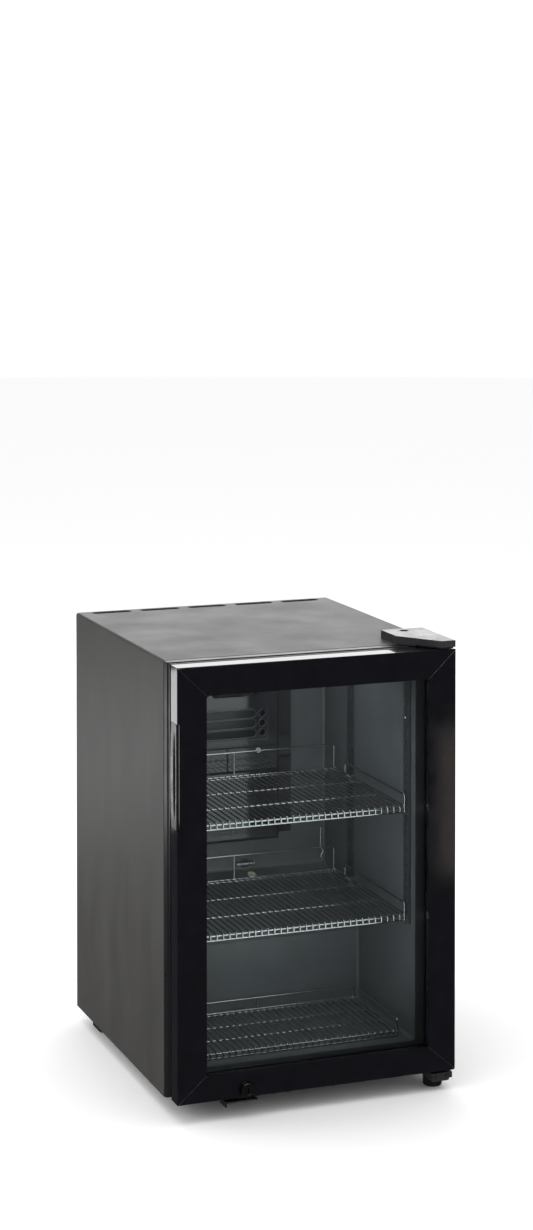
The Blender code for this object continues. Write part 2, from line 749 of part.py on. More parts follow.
def make_condenser():
    depth = PANEL_FRONT - GAP - TUBE_RADIUS
    lowest = PANEL_SPLIT + CONDENSER_LOW
    passes = int((SHELL_TOP - CONDENSER_HIGH - lowest) / CONDENSER_PITCH) + 1
    half = HALF - CONDENSER_MARGIN
    points = []
    bend = CONDENSER_PITCH / 2
    for row in range(passes):
        side = 1 if row % 2 else -1
        height = lowest + row * CONDENSER_PITCH
        points.append((side * half, depth, height))
        points.append((-side * half, depth, height))
        if row < passes - 1:
            for k in range(1, 5):
                angle = math.pi * k / 5
                points.append((-side * (half + bend * math.sin(angle)), depth,
                               height + bend - bend * math.cos(angle)))
    curve = bpy.data.curves.new("condenser_coil", "CURVE")
    curve.dimensions = "3D"
    curve.bevel_depth = TUBE_RADIUS
    curve.bevel_resolution = 1
    curve.use_fill_caps = True
    line = curve.splines.new("POLY")
    line.points.add(len(points) - 1)
    for target, point in zip(line.points, points):
        target.co = (*point, 1)
    coil = bpy.data.objects.new("condenser_coil", curve)
    bpy.context.scene.collection.objects.link(coil)
    material = bpy.data.materials.new("condenser_coil_finish")
    material.use_nodes = True
    shader = material.node_tree.nodes["Principled BSDF"]
    shader.inputs["Base Color"].default_value = (0.015, 0.015, 0.016, 1)
    shader.inputs["Roughness"].default_value = 0.5
    curve.materials.append(material)


# ---- controls and light

def make_controls():
    width, depth, height = CONTROL_SIZE
    front = NECK_REAR + CONTROL_SETBACK
    top = CEILING - GAP
    middle_x = CAVITY_HALF - CONTROL_INSET
    control = box("thermostat_box", (middle_x - width / 2, front, top - height),
                  (middle_x + width / 2, front + depth, top))
    middle = top - height / 2
    knob_x = middle_x + width / 4
    shaft_end = front - CONTROL_SHAFT_LENGTH
    join(control, turned("control_shaft", (knob_x, 0, middle), "y",
                         [(shaft_end, CONTROL_SHAFT), (front + SHEET, CONTROL_SHAFT)], 12))
    size_x, _, size_z = ROCKER_SIZE
    rocker_x = middle_x - width / 4
    reach_x = size_x / 2 + GAP
    reach_z = size_z / 2 + ROCKER_PLAY
    cut(control, box("rocker_pocket", (rocker_x - reach_x, front - SHEET, middle - reach_z),
                     (rocker_x + reach_x, front + ROCKER_POCKET, middle + reach_z)))
    black_plastic(control)
    make_knob(Vector((knob_x, front - 2 * GAP, middle)), shaft_end)

    bm = bmesh.new()
    half = Vector(ROCKER_SIZE) / 2
    add_box(bm, -half, half)
    tilt = Matrix.Rotation(math.radians(-ROCKER_TILT), 4, "X")
    bmesh.ops.transform(bm, matrix=tilt, verts=bm.verts[:])
    rocker = make_object("light_switch", bm)
    rocker.location = (rocker_x, front + ROCKER_SETBACK, middle)
    finish(rocker, (0.25, 0.02, 0.02), 0.3)

    light_front = NECK_REAR + LIGHT_SETBACK
    light_rear = light_front + LIGHT_SIZE[0]
    under = top - LIGHT_SIZE[1]
    housing = box("led_housing", (-LIGHT_HALF, light_front, under), (LIGHT_HALF, light_rear, top))
    finish(housing, (0.6, 0.6, 0.6), 0.4)
    lens = box("led_diffuser", (-LIGHT_HALF, light_front, under - GAP - DIFFUSER_HEIGHT),
               (LIGHT_HALF, light_rear, under - GAP))
    finish(lens, (0.8, 0.8, 0.8), 0.3)


def make_knob(seat, shaft_end):
    face = seat.y - KNOB_LENGTH
    axis = (seat.x, 0, seat.z)
    stations = [(seat.y, KNOB_RADIUS), (face + 2 * KNOB_TAPER, KNOB_RADIUS - KNOB_TAPER),
                (face, KNOB_RADIUS - 2 * KNOB_TAPER)]
    knob = turned("thermostat_knob", axis, "y", stations, 20)
    bore = CONTROL_SHAFT + GAP
    cut(knob, turned("knob_bore", axis, "y", [(seat.y + SHEET, bore), (shaft_end - SHEET, bore)], 12))
    cut(knob, box("knob_pointer", (seat.x - SHEET / 2, face - SHEET, seat.z + 2 * KNOB_TAPER),
                  (seat.x + SHEET / 2, face + SHEET, seat.z + KNOB_RADIUS)))
    set_origin(knob, seat)
    black_plastic(knob)


# ---- shelves

def strip_holes():
    room = CEILING - STRIP_TOP_GAP - 2 * STRIP_END - STEP_TOP - STRIP_RISE
    return int(room / STRIP_HOLE_PITCH) + 1


def strip_bottom():
    return CEILING - STRIP_TOP_GAP - 2 * STRIP_END - (strip_holes() - 1) * STRIP_HOLE_PITCH


def hole_height(index):
    return strip_bottom() + STRIP_END + index * STRIP_HOLE_PITCH


def strip_depths():
    return (("front", FRAME_REAR + STRIP_FRONT), ("rear", CAVITY_REAR - STRIP_REAR))


def make_strips():
    for side, word in ((-1, "left"), (1, "right")):
        wall = side * (CAVITY_HALF - GAP)
        face = side * (CAVITY_HALF - GAP - STRIP_SHEET)
        for place, depth in strip_depths():
            low = (min(wall, face), depth - STRIP_WIDTH / 2, strip_bottom())
            high = (max(wall, face), depth + STRIP_WIDTH / 2, CEILING - STRIP_TOP_GAP)
            strip = box(f"shelf_strip_{word}_{place}", low, high)
            spans = []
            reach = STRIP_HOLE_WIDTH / 2
            rise = STRIP_HOLE_HEIGHT / 2
            for index in range(strip_holes()):
                height = hole_height(index)
                spans.append(((low[0] - SHEET, depth - reach, height - rise),
                              (high[0] + SHEET, depth + reach, height + rise)))
            cut(strip, boxes(f"holes_{word}_{place}", spans))
            black_plastic(strip)


def clip_top(index):
    return hole_height(index) + CLIP_RISE


def make_clips():
    for index, shelf in ((UPPER_SHELF_HOLE, "upper"), (LOWER_SHELF_HOLE, "lower")):
        top = clip_top(index)
        hole = hole_height(index)
        for side, word in ((-1, "left"), (1, "right")):
            face = CAVITY_HALF - GAP - STRIP_SHEET - GAP
            tip = face - CLIP_LEDGE
            under = top - CLIP_LEDGE_SHEET
            foot = hole - CLIP_DROP
            back = face - CLIP_PLATE
            hook = face + STRIP_SHEET
            catch = hole + STRIP_HOLE_HEIGHT / 2 - GAP
            sill = hole - CLIP_PLATE
            outline = [(tip, under), (back, under), (back, foot), (face, foot), (face, sill), (hook, sill)]
            outline += [(hook, catch), (face, catch), (face, top), (tip, top)]
            outline = [(side * x, z) for x, z in outline]
            for place, depth in strip_depths():
                clip = prism(f"{shelf}_clip_{word}_{place}", outline, "y",
                             depth - CLIP_WIDTH / 2, depth + CLIP_WIDTH / 2)
                bright_steel(clip)


def make_shelf(name, bottom, half, rear, rear_guard, rear_leg):
    """Wire shelf: front-to-back wires on cross rails, with side and rear guards."""
    front = FRAME_REAR + SHELF_SETBACK
    depth = rear - front
    top = bottom + WIRE
    outline = [(front, bottom - APRON), (front + WIRE, bottom - APRON), (front + WIRE, bottom)]
    if rear_leg:
        outline += [(rear - WIRE, bottom), (rear - WIRE, bottom - APRON), (rear, bottom - APRON)]
    else:
        outline += [(rear, bottom)]
    outline += [(rear, top), (front, top)]
    shelf = prism(name, outline, "x", -half, half)

    guard_end = front + min(SIDE_GUARD_LENGTH, depth - WIRE)
    sink = WIRE / 2
    guard = []
    for side in (-1, 1):
        low = min(side * half, side * (half - WIRE))
        guard.append(((low, front, top - sink), (low + WIRE, guard_end, bottom + SIDE_GUARD)))
    join(shelf, boxes(name + "_side_guards", guard))
    rail = half - 2 * WIRE
    join(shelf, box(name + "_rear_guard", (-rail, rear - WIRE, top - sink),
                    (rail, rear, bottom + rear_guard)))

    windows = []
    middle = (front + guard_end) / 2
    for low, high in ((front + WIRE, middle - WIRE / 2), (middle + WIRE / 2, guard_end - WIRE)):
        windows.append(((-half - SHEET, low, top + WIRE / 2),
                        (half + SHEET, high, bottom + SIDE_GUARD - WIRE)))
    span = (2 * rail - WIRE) / (GUARD_POSTS - 1)
    for k in range(GUARD_POSTS - 1):
        low = -rail + WIRE + k * span
        windows.append(((low, rear - 2 * WIRE, top + WIRE / 2),
                        (low + span - WIRE, rear + SHEET, bottom + rear_guard - WIRE)))
    cut(shelf, boxes(name + "_windows", windows))

    count = int((2 * half - WIRE) / WIRE_PITCH)
    span = (depth - WIRE) / CROSS_RAILS
    gaps = []
    for k in range(count):
        x = (k - (count - 1) / 2) * WIRE_PITCH
        reach = (WIRE_PITCH - WIRE) / 2
        for j in range(CROSS_RAILS):
            low = front + WIRE + j * span
            high = low + span - WIRE
            floor = bottom - SHEET
            if j == 0:
                low = front - SHEET
                floor = bottom - APRON + WIRE
            gaps.append(((x - reach, low, floor), (x + reach, high, top + SHEET)))
    cut(shelf, boxes(name + "_gaps", gaps))
    return dark_steel(shelf)


def make_shelves():
    for index, name in ((UPPER_SHELF_HOLE, "upper_shelf"), (LOWER_SHELF_HOLE, "lower_shelf")):
        make_shelf(name, clip_top(index) + GAP, CAVITY_HALF - SHELF_SIDE_CLEARANCE,
                   EVAP_FRONT - SHELF_REAR_GAP, REAR_GUARD, False)
    make_shelf("floor_shelf", FLOOR + GAP + APRON, CAVITY_HALF - FLOOR_SHELF_CLEARANCE,
               STEP_FRONT - FLOOR_SHELF_REAR_GAP, FLOOR_REAR_GUARD, True)


# ---- door

def member_profile(face):
    """Section of a frame member as (distance in from the door's edge, depth from its front)."""
    rear_lip = DOOR_THICKNESS - REAR_LIP
    return [(0, 0), (face, 0), (face, FRONT_LIP), (face - CHANNEL, FRONT_LIP), (face - CHANNEL, rear_lip),
            (face - REAR_LIP_INSET, rear_lip), (face - REAR_LIP_INSET, DOOR_THICKNESS), (0, DOOR_THICKNESS)]


def make_members():
    """Two stiles and two rails, mitred at the corners."""
    relief = 0.7 * GAP
    members = {}
    for side, name in ((-1, "door_handle_stile"), (1, "door_hinge_stile")):
        loops = []
        for end, rail in ((0, BOTTOM_RAIL_FACE), (1, TOP_RAIL_FACE)):
            loop = []
            for inward, depth in member_profile(STILE_FACE):
                along = inward * rail / STILE_FACE + relief
                height = DOOR_TOP - along if end else DOOR_BOTTOM + along
                loop.append((side * (HALF - inward), DOOR_FRONT + depth, height))
            loops.append(loop)
        members[name] = black_plastic(skin(name, loops))
    for up, name, face in ((0, "door_bottom_rail", BOTTOM_RAIL_FACE), (1, "door_top_rail", TOP_RAIL_FACE)):
        loops = []
        for side in (-1, 1):
            loop = []
            for inward, depth in member_profile(face):
                along = inward * STILE_FACE / face + relief
                height = DOOR_TOP - inward if up else DOOR_BOTTOM + inward
                loop.append((side * (HALF - along), DOOR_FRONT + depth, height))
            loops.append(loop)
        members[name] = black_plastic(skin(name, loops))
    return members


def pane(name, depth, thickness):
    reach = CHANNEL - PANE_CLEARANCE
    half = HALF - STILE_FACE + reach
    low = DOOR_BOTTOM + BOTTOM_RAIL_FACE - reach
    high = DOOR_TOP - TOP_RAIL_FACE + reach
    sheet = box(name, (-half, DOOR_FRONT + depth, low), (half, DOOR_FRONT + depth + thickness, high))
    return finish(sheet, (0.5, 0.55, 0.55), 0.02)


def make_glazing():
    outer = FRONT_LIP + GAP
    spacer = outer + GLASS + GAP
    inner = spacer + SPACER + GAP
    pieces = [pane("outer_glass", outer, GLASS), pane("inner_glass", inner, GLASS)]
    reach = CHANNEL - PANE_CLEARANCE
    section = []
    for band, depth in ((0, spacer), (SPACER_BAND, spacer), (SPACER_BAND, inner - GAP), (0, inner - GAP)):
        section.append((HALF - STILE_FACE + reach - band, DOOR_BOTTOM + BOTTOM_RAIL_FACE - reach + band,
                        DOOR_TOP - TOP_RAIL_FACE + reach - band, DOOR_FRONT + depth))
    pieces.append(finish(rectangle_ring("glass_spacer", section), (0.02, 0.02, 0.02), 0.5))
    section = []
    for band, depth in ((0, GAP), (GASKET_BAND, GAP), (GASKET_BAND, GASKET_GAP - GAP), (0, GASKET_GAP - GAP)):
        section.append((HALF - GASKET_SIDE_INSET - band, DOOR_BOTTOM + GASKET_END_INSET + band,
                        DOOR_TOP - GASKET_END_INSET - band, DOOR_REAR + depth))
    pieces.append(rubber(rectangle_ring("door_gasket", section)))
    return pieces


def make_handle(stile):
    high = DOOR_TOP - HANDLE_DROP
    low = high - HANDLE_LENGTH
    inner = -HALF + HANDLE_DEPTH
    step = DOOR_FRONT + HANDLE_FRONT
    pocket = box("handle_pocket", (-HALF - SHEET, step, low), (inner, DOOR_REAR + SHEET, high))
    notch = box("handle_notch", (-HALF - SHEET, DOOR_FRONT - SHEET, low),
                (-HALF + HANDLE_NOTCH, step + SHEET, high))
    cut(stile, pocket, notch)
    low += GAP
    high -= GAP
    outline = [(step + GAP, low)]
    for k in range(HANDLE_STEPS + 1):
        share = k / HANDLE_STEPS
        outline.append((DOOR_REAR + HANDLE_BULGE * math.sin(math.pi * share), low + (high - low) * share))
    outline.append((step + GAP, high))
    insert = prism("handle_insert", outline, "x", -HALF + GAP, inner - GAP)
    middle = (DOOR_FRONT + SLOT_FRONT + SLOT_WIDTH / 2, (low + high) / 2)
    lens = []
    for side in (1, -1):
        for k in range(SLOT_STEPS):
            share = k / SLOT_STEPS
            rise = (share - 0.5) * SLOT_LENGTH * side
            across = (SLOT_WIDTH / 2 * math.sin(math.pi * share) ** SLOT_FULLNESS + GAP) * side
            lens.append((middle[0] + across, middle[1] + rise))
    cut(insert, prism("finger_slot", lens, "x", -HALF - SHEET, -HALF + SLOT_DEPTH))
    return finish(insert, (0.2, 0.2, 0.2), 0.4)


def make_lock(rail):
    barrel = LOCK_BARREL_RADIUS + GAP
    pocket_front = LOCK_BARREL + GAP
    cut(rail, turned("lock_bore", LOCK, "y", [(-SHEET, barrel), (pocket_front + SHEET, barrel)], 20))
    half_cam = CAM_WIDTH / 2
    cut(rail, box("cam_pocket", (LOCK.x - CAM_WIDTH, DOOR_FRONT + pocket_front, DOOR_BOTTOM - SHEET),
                  (LOCK.x + CAM_REACH + STRIKE_PLAY, DOOR_FRONT + pocket_front + CAM_POCKET,
                   LOCK.z + half_cam + STRIKE_PLAY)))
    bore = PLUG_RADIUS + GAP
    round_off = 0.0015
    stations = [(-LOCK_PROUD, bore), (-LOCK_PROUD, LOCK_RADIUS - round_off),
                (-LOCK_PROUD + round_off, LOCK_RADIUS), (-GAP, LOCK_RADIUS), (-GAP, LOCK_BARREL_RADIUS),
                (LOCK_BARREL, LOCK_BARREL_RADIUS), (LOCK_BARREL, bore)]
    body = bright_steel(turned("lock_body", LOCK, "y", stations, 20, hollow=True))
    cam_front = pocket_front + CAM_PLAY
    cam_rear = cam_front + CAM_THICKNESS
    stations = [(GAP - LOCK_PROUD, PLUG_RADIUS), (LOCK_BARREL, PLUG_RADIUS), (LOCK_BARREL, half_cam),
                (cam_rear, half_cam)]
    plug = turned("lock_plug", LOCK, "y", stations, 20)
    join(plug, box("lock_cam", (LOCK.x, DOOR_FRONT + cam_front, LOCK.z - half_cam),
                   (LOCK.x + CAM_REACH, DOOR_FRONT + cam_rear - GAP, LOCK.z + half_cam)))
    width, height, depth = KEY_SLOT
    face = DOOR_FRONT - LOCK_PROUD
    cut(plug, box("key_slot", (LOCK.x - width / 2, face - SHEET, LOCK.z - height / 2),
                  (LOCK.x + width / 2, face + depth, LOCK.z + height / 2)))
    bright_steel(plug)
    set_origin(plug, LOCK)
    return body


def make_door():
    members = make_members()
    for end, height in (("bottom", DOOR_BOTTOM), ("top", DOOR_TOP)):
        radius = PIN_RADIUS + GAP
        reach = PIN_REACH + GAP
        for name in ("door_hinge_stile", f"door_{end}_rail"):
            bore = turned(f"{end}_pin_bore_{name}", (HINGE.x, HINGE.y, height), "z",
                          [(-reach, radius), (reach, radius)], 16)
            cut(members[name], bore)
    pieces = list(members.values()) + make_glazing()
    pieces.append(make_handle(members["door_handle_stile"]))
    pieces.append(make_lock(members["door_bottom_rail"]))
    hang(pieces, pivot("door_axis", HINGE))


# ---- hinges, strike and feet

def cover_outline(wall):
    """Plan of the top hinge cover, its faces moved in by wall."""
    right = HALF - GAP - wall
    left = right - COVER_WIDTH + 2 * wall
    front = DOOR_FRONT + HINGE_FRONT + wall
    rear = front + COVER_LENGTH - 2 * wall
    bend = rear - COVER_STRAIGHT + wall
    return [(right, front), (right, rear), (left, rear), (left, bend), (right - COVER_TIP + wall, front)]


def make_top_hinge():
    low = SHELL_TOP + GAP
    top = SHELL_TOP + COVER_HEIGHT
    cover = prism("top_hinge_cover", cover_outline(0), "z", low, top)
    cut(cover, prism("cover_hollow_top", cover_outline(COVER_WALL), "z", low - SHEET, top - COVER_WALL))
    cut(cover, box("cover_lift", (0, DOOR_FRONT - SHEET, low - SHEET),
                   (HALF + SHEET, FRAME_FRONT, low + COVER_CUT)))
    screw = (HALF - SCREW_INSET_X, DOOR_FRONT + SCREW_SETBACK, 0)
    well_floor = top - SCREW_WELL
    boss_foot = low + TOP_PLATE + GAP
    boss = SCREW_WELL_RADIUS + COVER_WALL
    join(cover, turned("cover_boss", screw, "z", [(boss_foot, boss), (top - COVER_WALL / 2, boss)], 16))
    cut(cover, turned("screw_well", screw, "z",
                      [(well_floor, SCREW_WELL_RADIUS), (top + SHEET, SCREW_WELL_RADIUS)], 16))
    hole = SCREW_SHANK + GAP
    cut(cover, turned("screw_hole", screw, "z", [(low, hole), (top, hole)], 12))
    black_plastic(cover)

    seat = well_floor + GAP
    head = seat + SCREW_HEAD
    rim = (seat + head) / 2
    stations = [(boss_foot, SCREW_SHANK), (seat, SCREW_SHANK), (seat, SCREW_HEAD_RADIUS),
                (rim, SCREW_HEAD_RADIUS), (head, SCREW_HEAD_RADIUS * 0.6)]
    bolt = turned("hinge_cover_screw", screw, "z", stations, 16)
    for name, x, y in (("cross_x", CROSS_REACH, CROSS_HALF), ("cross_y", CROSS_HALF, CROSS_REACH)):
        cut(bolt, box(name, (screw[0] - x, screw[1] - y, rim - GAP),
                      (screw[0] + x, screw[1] + y, head + SHEET)))
    bright_steel(bolt)

    plate_top = low + TOP_PLATE
    plate = prism("top_hinge_plate", cover_outline(COVER_WALL + 3 * GAP), "z", low, plate_top)
    join(plate, turned("top_pin", (HINGE.x, HINGE.y, 0), "z",
                       [(DOOR_TOP - PIN_REACH, PIN_RADIUS), (low + TOP_PLATE / 2, PIN_RADIUS)], 16))
    dark_steel(plate)


def make_bottom_hinge():
    right = HALF - BRACKET_INSET
    left = right - BRACKET_WIDTH
    front = DOOR_FRONT + HINGE_FRONT
    rear = front + BRACKET_LENGTH
    top = BASE_UNDER
    bottom = top - BRACKET_PLATE
    pad_rear = DOOR_REAR + PAD_CLEARANCE
    pad_top = DOOR_BOTTOM - PAD_CLEARANCE
    outline = [(front, bottom), (rear, bottom), (rear, top), (pad_rear, top), (pad_rear, pad_top)]
    outline.append((front, pad_top))
    bracket = prism("bottom_hinge_bracket", outline, "x", left, right)
    join(bracket, turned("bottom_pin", (HINGE.x, HINGE.y, 0), "z",
                         [(bottom + SHEET, PIN_RADIUS), (DOOR_BOTTOM + PIN_REACH, PIN_RADIUS)], 16))
    foot = (HALF - FOOT_INSET_X, DOOR_FRONT + FOOT_SETBACK, 0)
    cut(bracket, stud_cutter("bracket_stud_hole", foot, bottom - SHEET, pad_top + SHEET))
    dark_steel(bracket)

    high = bottom - GAP
    low = high - LOWER_COVER_HEIGHT
    edge = HINGE_FRONT
    radius = LOWER_COVER_ROUND - edge
    corner = (right - LOWER_COVER_ROUND, front + LOWER_COVER_ROUND)
    outline = [(left + 2 * edge, front + edge)]
    for k in range(5):
        angle = math.pi / 2 * (k / 4 - 1)
        outline.append((corner[0] + radius * math.cos(angle), corner[1] + radius * math.sin(angle)))
    outline += [(right - edge, front + LOWER_COVER_LENGTH), (left + 2 * edge, front + LOWER_COVER_LENGTH)]
    lower_cover = prism("bottom_hinge_cover", outline, "z", low, high)
    cut(lower_cover, stud_cutter("lower_cover_stud_hole", foot, low - SHEET, high + SHEET))
    black_plastic(lower_cover)
    return foot, low


def stud_cutter(name, foot, low, high):
    radius = STUD_RADIUS + GAP
    return turned(name, (foot[0], foot[1], 0), "z", [(low, radius), (high, radius)], 16)


def make_foot(name, place, seat):
    """Round levelling foot: pad from the floor to its seat, and a stud that screws up into it."""
    stations = [(0, FOOT_RADIUS - 0.002), (0.002, FOOT_RADIUS), (seat - GAP, FOOT_RADIUS),
                (seat - GAP, STUD_RADIUS), (seat + STUD_LENGTH, STUD_RADIUS)]
    foot = turned(name, (place[0], place[1], 0), "z", stations, 20)
    set_origin(foot, (place[0], place[1], 0))
    return black_plastic(foot)


def make_rear_feet():
    for side, word in ((-1, "left"), (1, "right")):
        outer = side * (HALF - REAR_FOOT_INSET_X)
        inner = side * (HALF - REAR_FOOT_INSET_X - REAR_FOOT_WIDTH)
        rear = SHELL_REAR - REAR_FOOT_FROM_REAR
        foot = box(f"foot_rear_{word}", (min(outer, inner), rear - REAR_FOOT_DEPTH, 0),
                   (max(outer, inner), rear, BASE_UNDER))
        rubber(foot)


def make_strike():
    """Bracket under the cabinet with a tab at its left and the slot that the lock's cam turns into."""
    top = BASE_UNDER
    bottom = top - STRIKE_PLATE
    left = LOCK.x - STRIKE_LEFT
    front = DOOR_FRONT + STRIKE_SETBACK
    strike = box("strike_bracket", (left, front, bottom),
                 (LOCK.x + STRIKE_RIGHT, SHELL_FRONT + STRIKE_REACH, top))
    join(strike, box("strike_tab", (left, front, bottom - TAB_DROP),
                     (left + STRIKE_PLATE, front + TAB_LENGTH, top - GAP)))
    # The cam's corner crosses the plate furthest out where it first reaches the plate's height.
    corner = math.hypot(CAM_REACH, CAM_WIDTH / 2)
    sweep = math.sqrt(max(corner ** 2 - (LOCK.z - top) ** 2, 0))
    slot_front = DOOR_FRONT + LOCK_BARREL + GAP
    cut(strike, box("strike_slot", (LOCK.x - CAM_WIDTH / 2 - STRIKE_PLAY, slot_front, bottom - SHEET),
                    (LOCK.x + sweep + STRIKE_PLAY, slot_front + CAM_POCKET, top + SHEET)))
    dark_steel(strike)


def make_stands(base, foam):
    foot, seat = make_bottom_hinge()
    make_foot("foot_front_right", foot, seat)
    left = (-HALF + LEFT_FOOT_INSET_X, DOOR_FRONT + LEFT_FOOT_SETBACK, 0)
    stud_room = BASE_UNDER + STUD_LENGTH + SHEET
    for piece in (base, foam):
        cut(piece, stud_cutter(f"stud_hole_{piece.name}", left, SHELL_BOTTOM - SHEET, stud_room))
    make_foot("foot_front_left", left, BASE_UNDER)
    make_rear_feet()


def main():
    for thing in list(bpy.data.objects):
        bpy.data.objects.remove(thing)
    make_shell()
    base = make_base()
    foam = make_foam()
    make_liner()
    make_face_frame()
    make_back()
    make_evaporator()
    make_condensing_unit()
    make_controls()
    make_strips()
    make_clips()
    make_shelves()
    make_door()
    make_top_hinge()
    make_strike()
    make_stands(base, foam)


main()
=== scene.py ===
import json
import math

import bmesh
import bpy
from mathutils import Matrix, Vector


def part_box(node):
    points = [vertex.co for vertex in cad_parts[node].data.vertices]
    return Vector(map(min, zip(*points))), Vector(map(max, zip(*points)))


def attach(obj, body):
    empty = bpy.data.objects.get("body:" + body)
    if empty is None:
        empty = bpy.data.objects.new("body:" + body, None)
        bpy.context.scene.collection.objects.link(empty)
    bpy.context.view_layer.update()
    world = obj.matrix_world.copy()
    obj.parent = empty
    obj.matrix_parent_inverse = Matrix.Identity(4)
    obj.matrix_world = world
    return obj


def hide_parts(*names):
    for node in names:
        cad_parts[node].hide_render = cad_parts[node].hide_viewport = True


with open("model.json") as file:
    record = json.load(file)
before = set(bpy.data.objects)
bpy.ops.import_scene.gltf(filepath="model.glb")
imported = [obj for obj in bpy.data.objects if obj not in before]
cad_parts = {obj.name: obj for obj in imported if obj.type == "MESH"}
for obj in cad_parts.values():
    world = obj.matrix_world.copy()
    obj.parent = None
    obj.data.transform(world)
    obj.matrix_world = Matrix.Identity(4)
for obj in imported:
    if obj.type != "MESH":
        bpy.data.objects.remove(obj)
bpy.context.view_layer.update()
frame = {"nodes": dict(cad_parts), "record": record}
print("cad model loaded,", len(frame["nodes"]), "nodes")

bodies = frame["record"]["behaviour"]["bodies"]
bodyOfNode = {node: body for body, nodes in bodies.items() for node in nodes}
slotOfNode = {part["node"]: part["material_slot"] for part in frame["record"]["subparts"]}


# Colours and nodes

def linearColour(hexCode):
    # sRGB hex to the linear values that the shaders take
    channels = [int(hexCode[k:k + 2], 16) / 255 for k in (0, 2, 4)]
    linear = [c / 12.92 if c <= 0.04045 else ((c + 0.055) / 1.055) ** 2.4 for c in channels]
    return (*linear, 1.0)


def addNode(material, kind, values=None, links=None, **settings):
    tree = material.node_tree
    made = tree.nodes.new(kind)
    for name, value in settings.items():
        setattr(made, name, value)
    for socket, value in (values or {}).items():
        made.inputs[socket].default_value = value
    for socket, source in (links or {}).items():
        tree.links.new(source, made.inputs[socket])
    return made


def perMetre(millimetres):
    return 1000.0 / millimetres


def emptyMaterial(name):
    material = bpy.data.materials.new(name)
    material.use_nodes = True
    material.node_tree.nodes.clear()
    return material


# patches colour a surface and change its gloss, grain is its bump; grainDepth is a share of the grain's size
pattern = dict(patchDetail=4.0, patchRoughness=0.55, grainDetail=2.0, grainRoughness=0.5, bandLow=0.3,
               bandHigh=0.7, grainDepth=0.2)


def surfaceFinish(name, look):
    # moulded, painted or brushed: two noises drive the colour, the roughness and the bump
    material = emptyMaterial(name)
    place = addNode(material, "ShaderNodeTexCoord").outputs["Object"]
    stretch = look.get("stretch", (1.0, 1.0, 1.0))
    turned = addNode(material, "ShaderNodeMapping", {"Scale": stretch}, {"Vector": place}).outputs["Vector"]
    patches = addNode(material, "ShaderNodeTexNoise",
                      {"Scale": perMetre(look["patchSize"]), "Detail": pattern["patchDetail"],
                       "Roughness": pattern["patchRoughness"]}, {"Vector": turned}).outputs["Fac"]
    grain = addNode(material, "ShaderNodeTexNoise",
                    {"Scale": perMetre(look["grainSize"]), "Detail": pattern["grainDetail"],
                     "Roughness": pattern["grainRoughness"]}, {"Vector": place}).outputs["Fac"]
    band = {"From Min": pattern["bandLow"], "From Max": pattern["bandHigh"]}
    spread = addNode(material, "ShaderNodeMapRange", band, {"Value": patches}).outputs[0]
    tint = addNode(material, "ShaderNodeMix",
                   {"A": linearColour(look["dark"]), "B": linearColour(look["light"])},
                   {"Factor": spread}, data_type="RGBA")
    smoothest = look["rough"] - look["roughSpread"]
    roughest = look["rough"] + look["roughSpread"]
    gloss = addNode(material, "ShaderNodeMapRange", {**band, "To Min": smoothest, "To Max": roughest},
                    {"Value": patches}).outputs[0]
    depth = pattern["grainDepth"] / perMetre(look["grainSize"])
    bump = addNode(material, "ShaderNodeBump", {"Strength": look["bump"], "Distance": depth},
                   {"Height": grain}).outputs["Normal"]
    shader = addNode(material, "ShaderNodeBsdfPrincipled",
                     {"Metallic": look.get("metallic", 0.0), "IOR": look.get("ior", 1.5),
                      "Specular IOR Level": look.get("specular", 0.5), "Coat Weight": look.get("coat", 0.0),
                      "Coat Roughness": look.get("coatRough", 0.05)},
                     {"Base Color": tint.outputs["Result"], "Roughness": gloss, "Normal": bump})
    addNode(material, "ShaderNodeOutputMaterial", None, {"Surface": shader.outputs["BSDF"]})
    return material


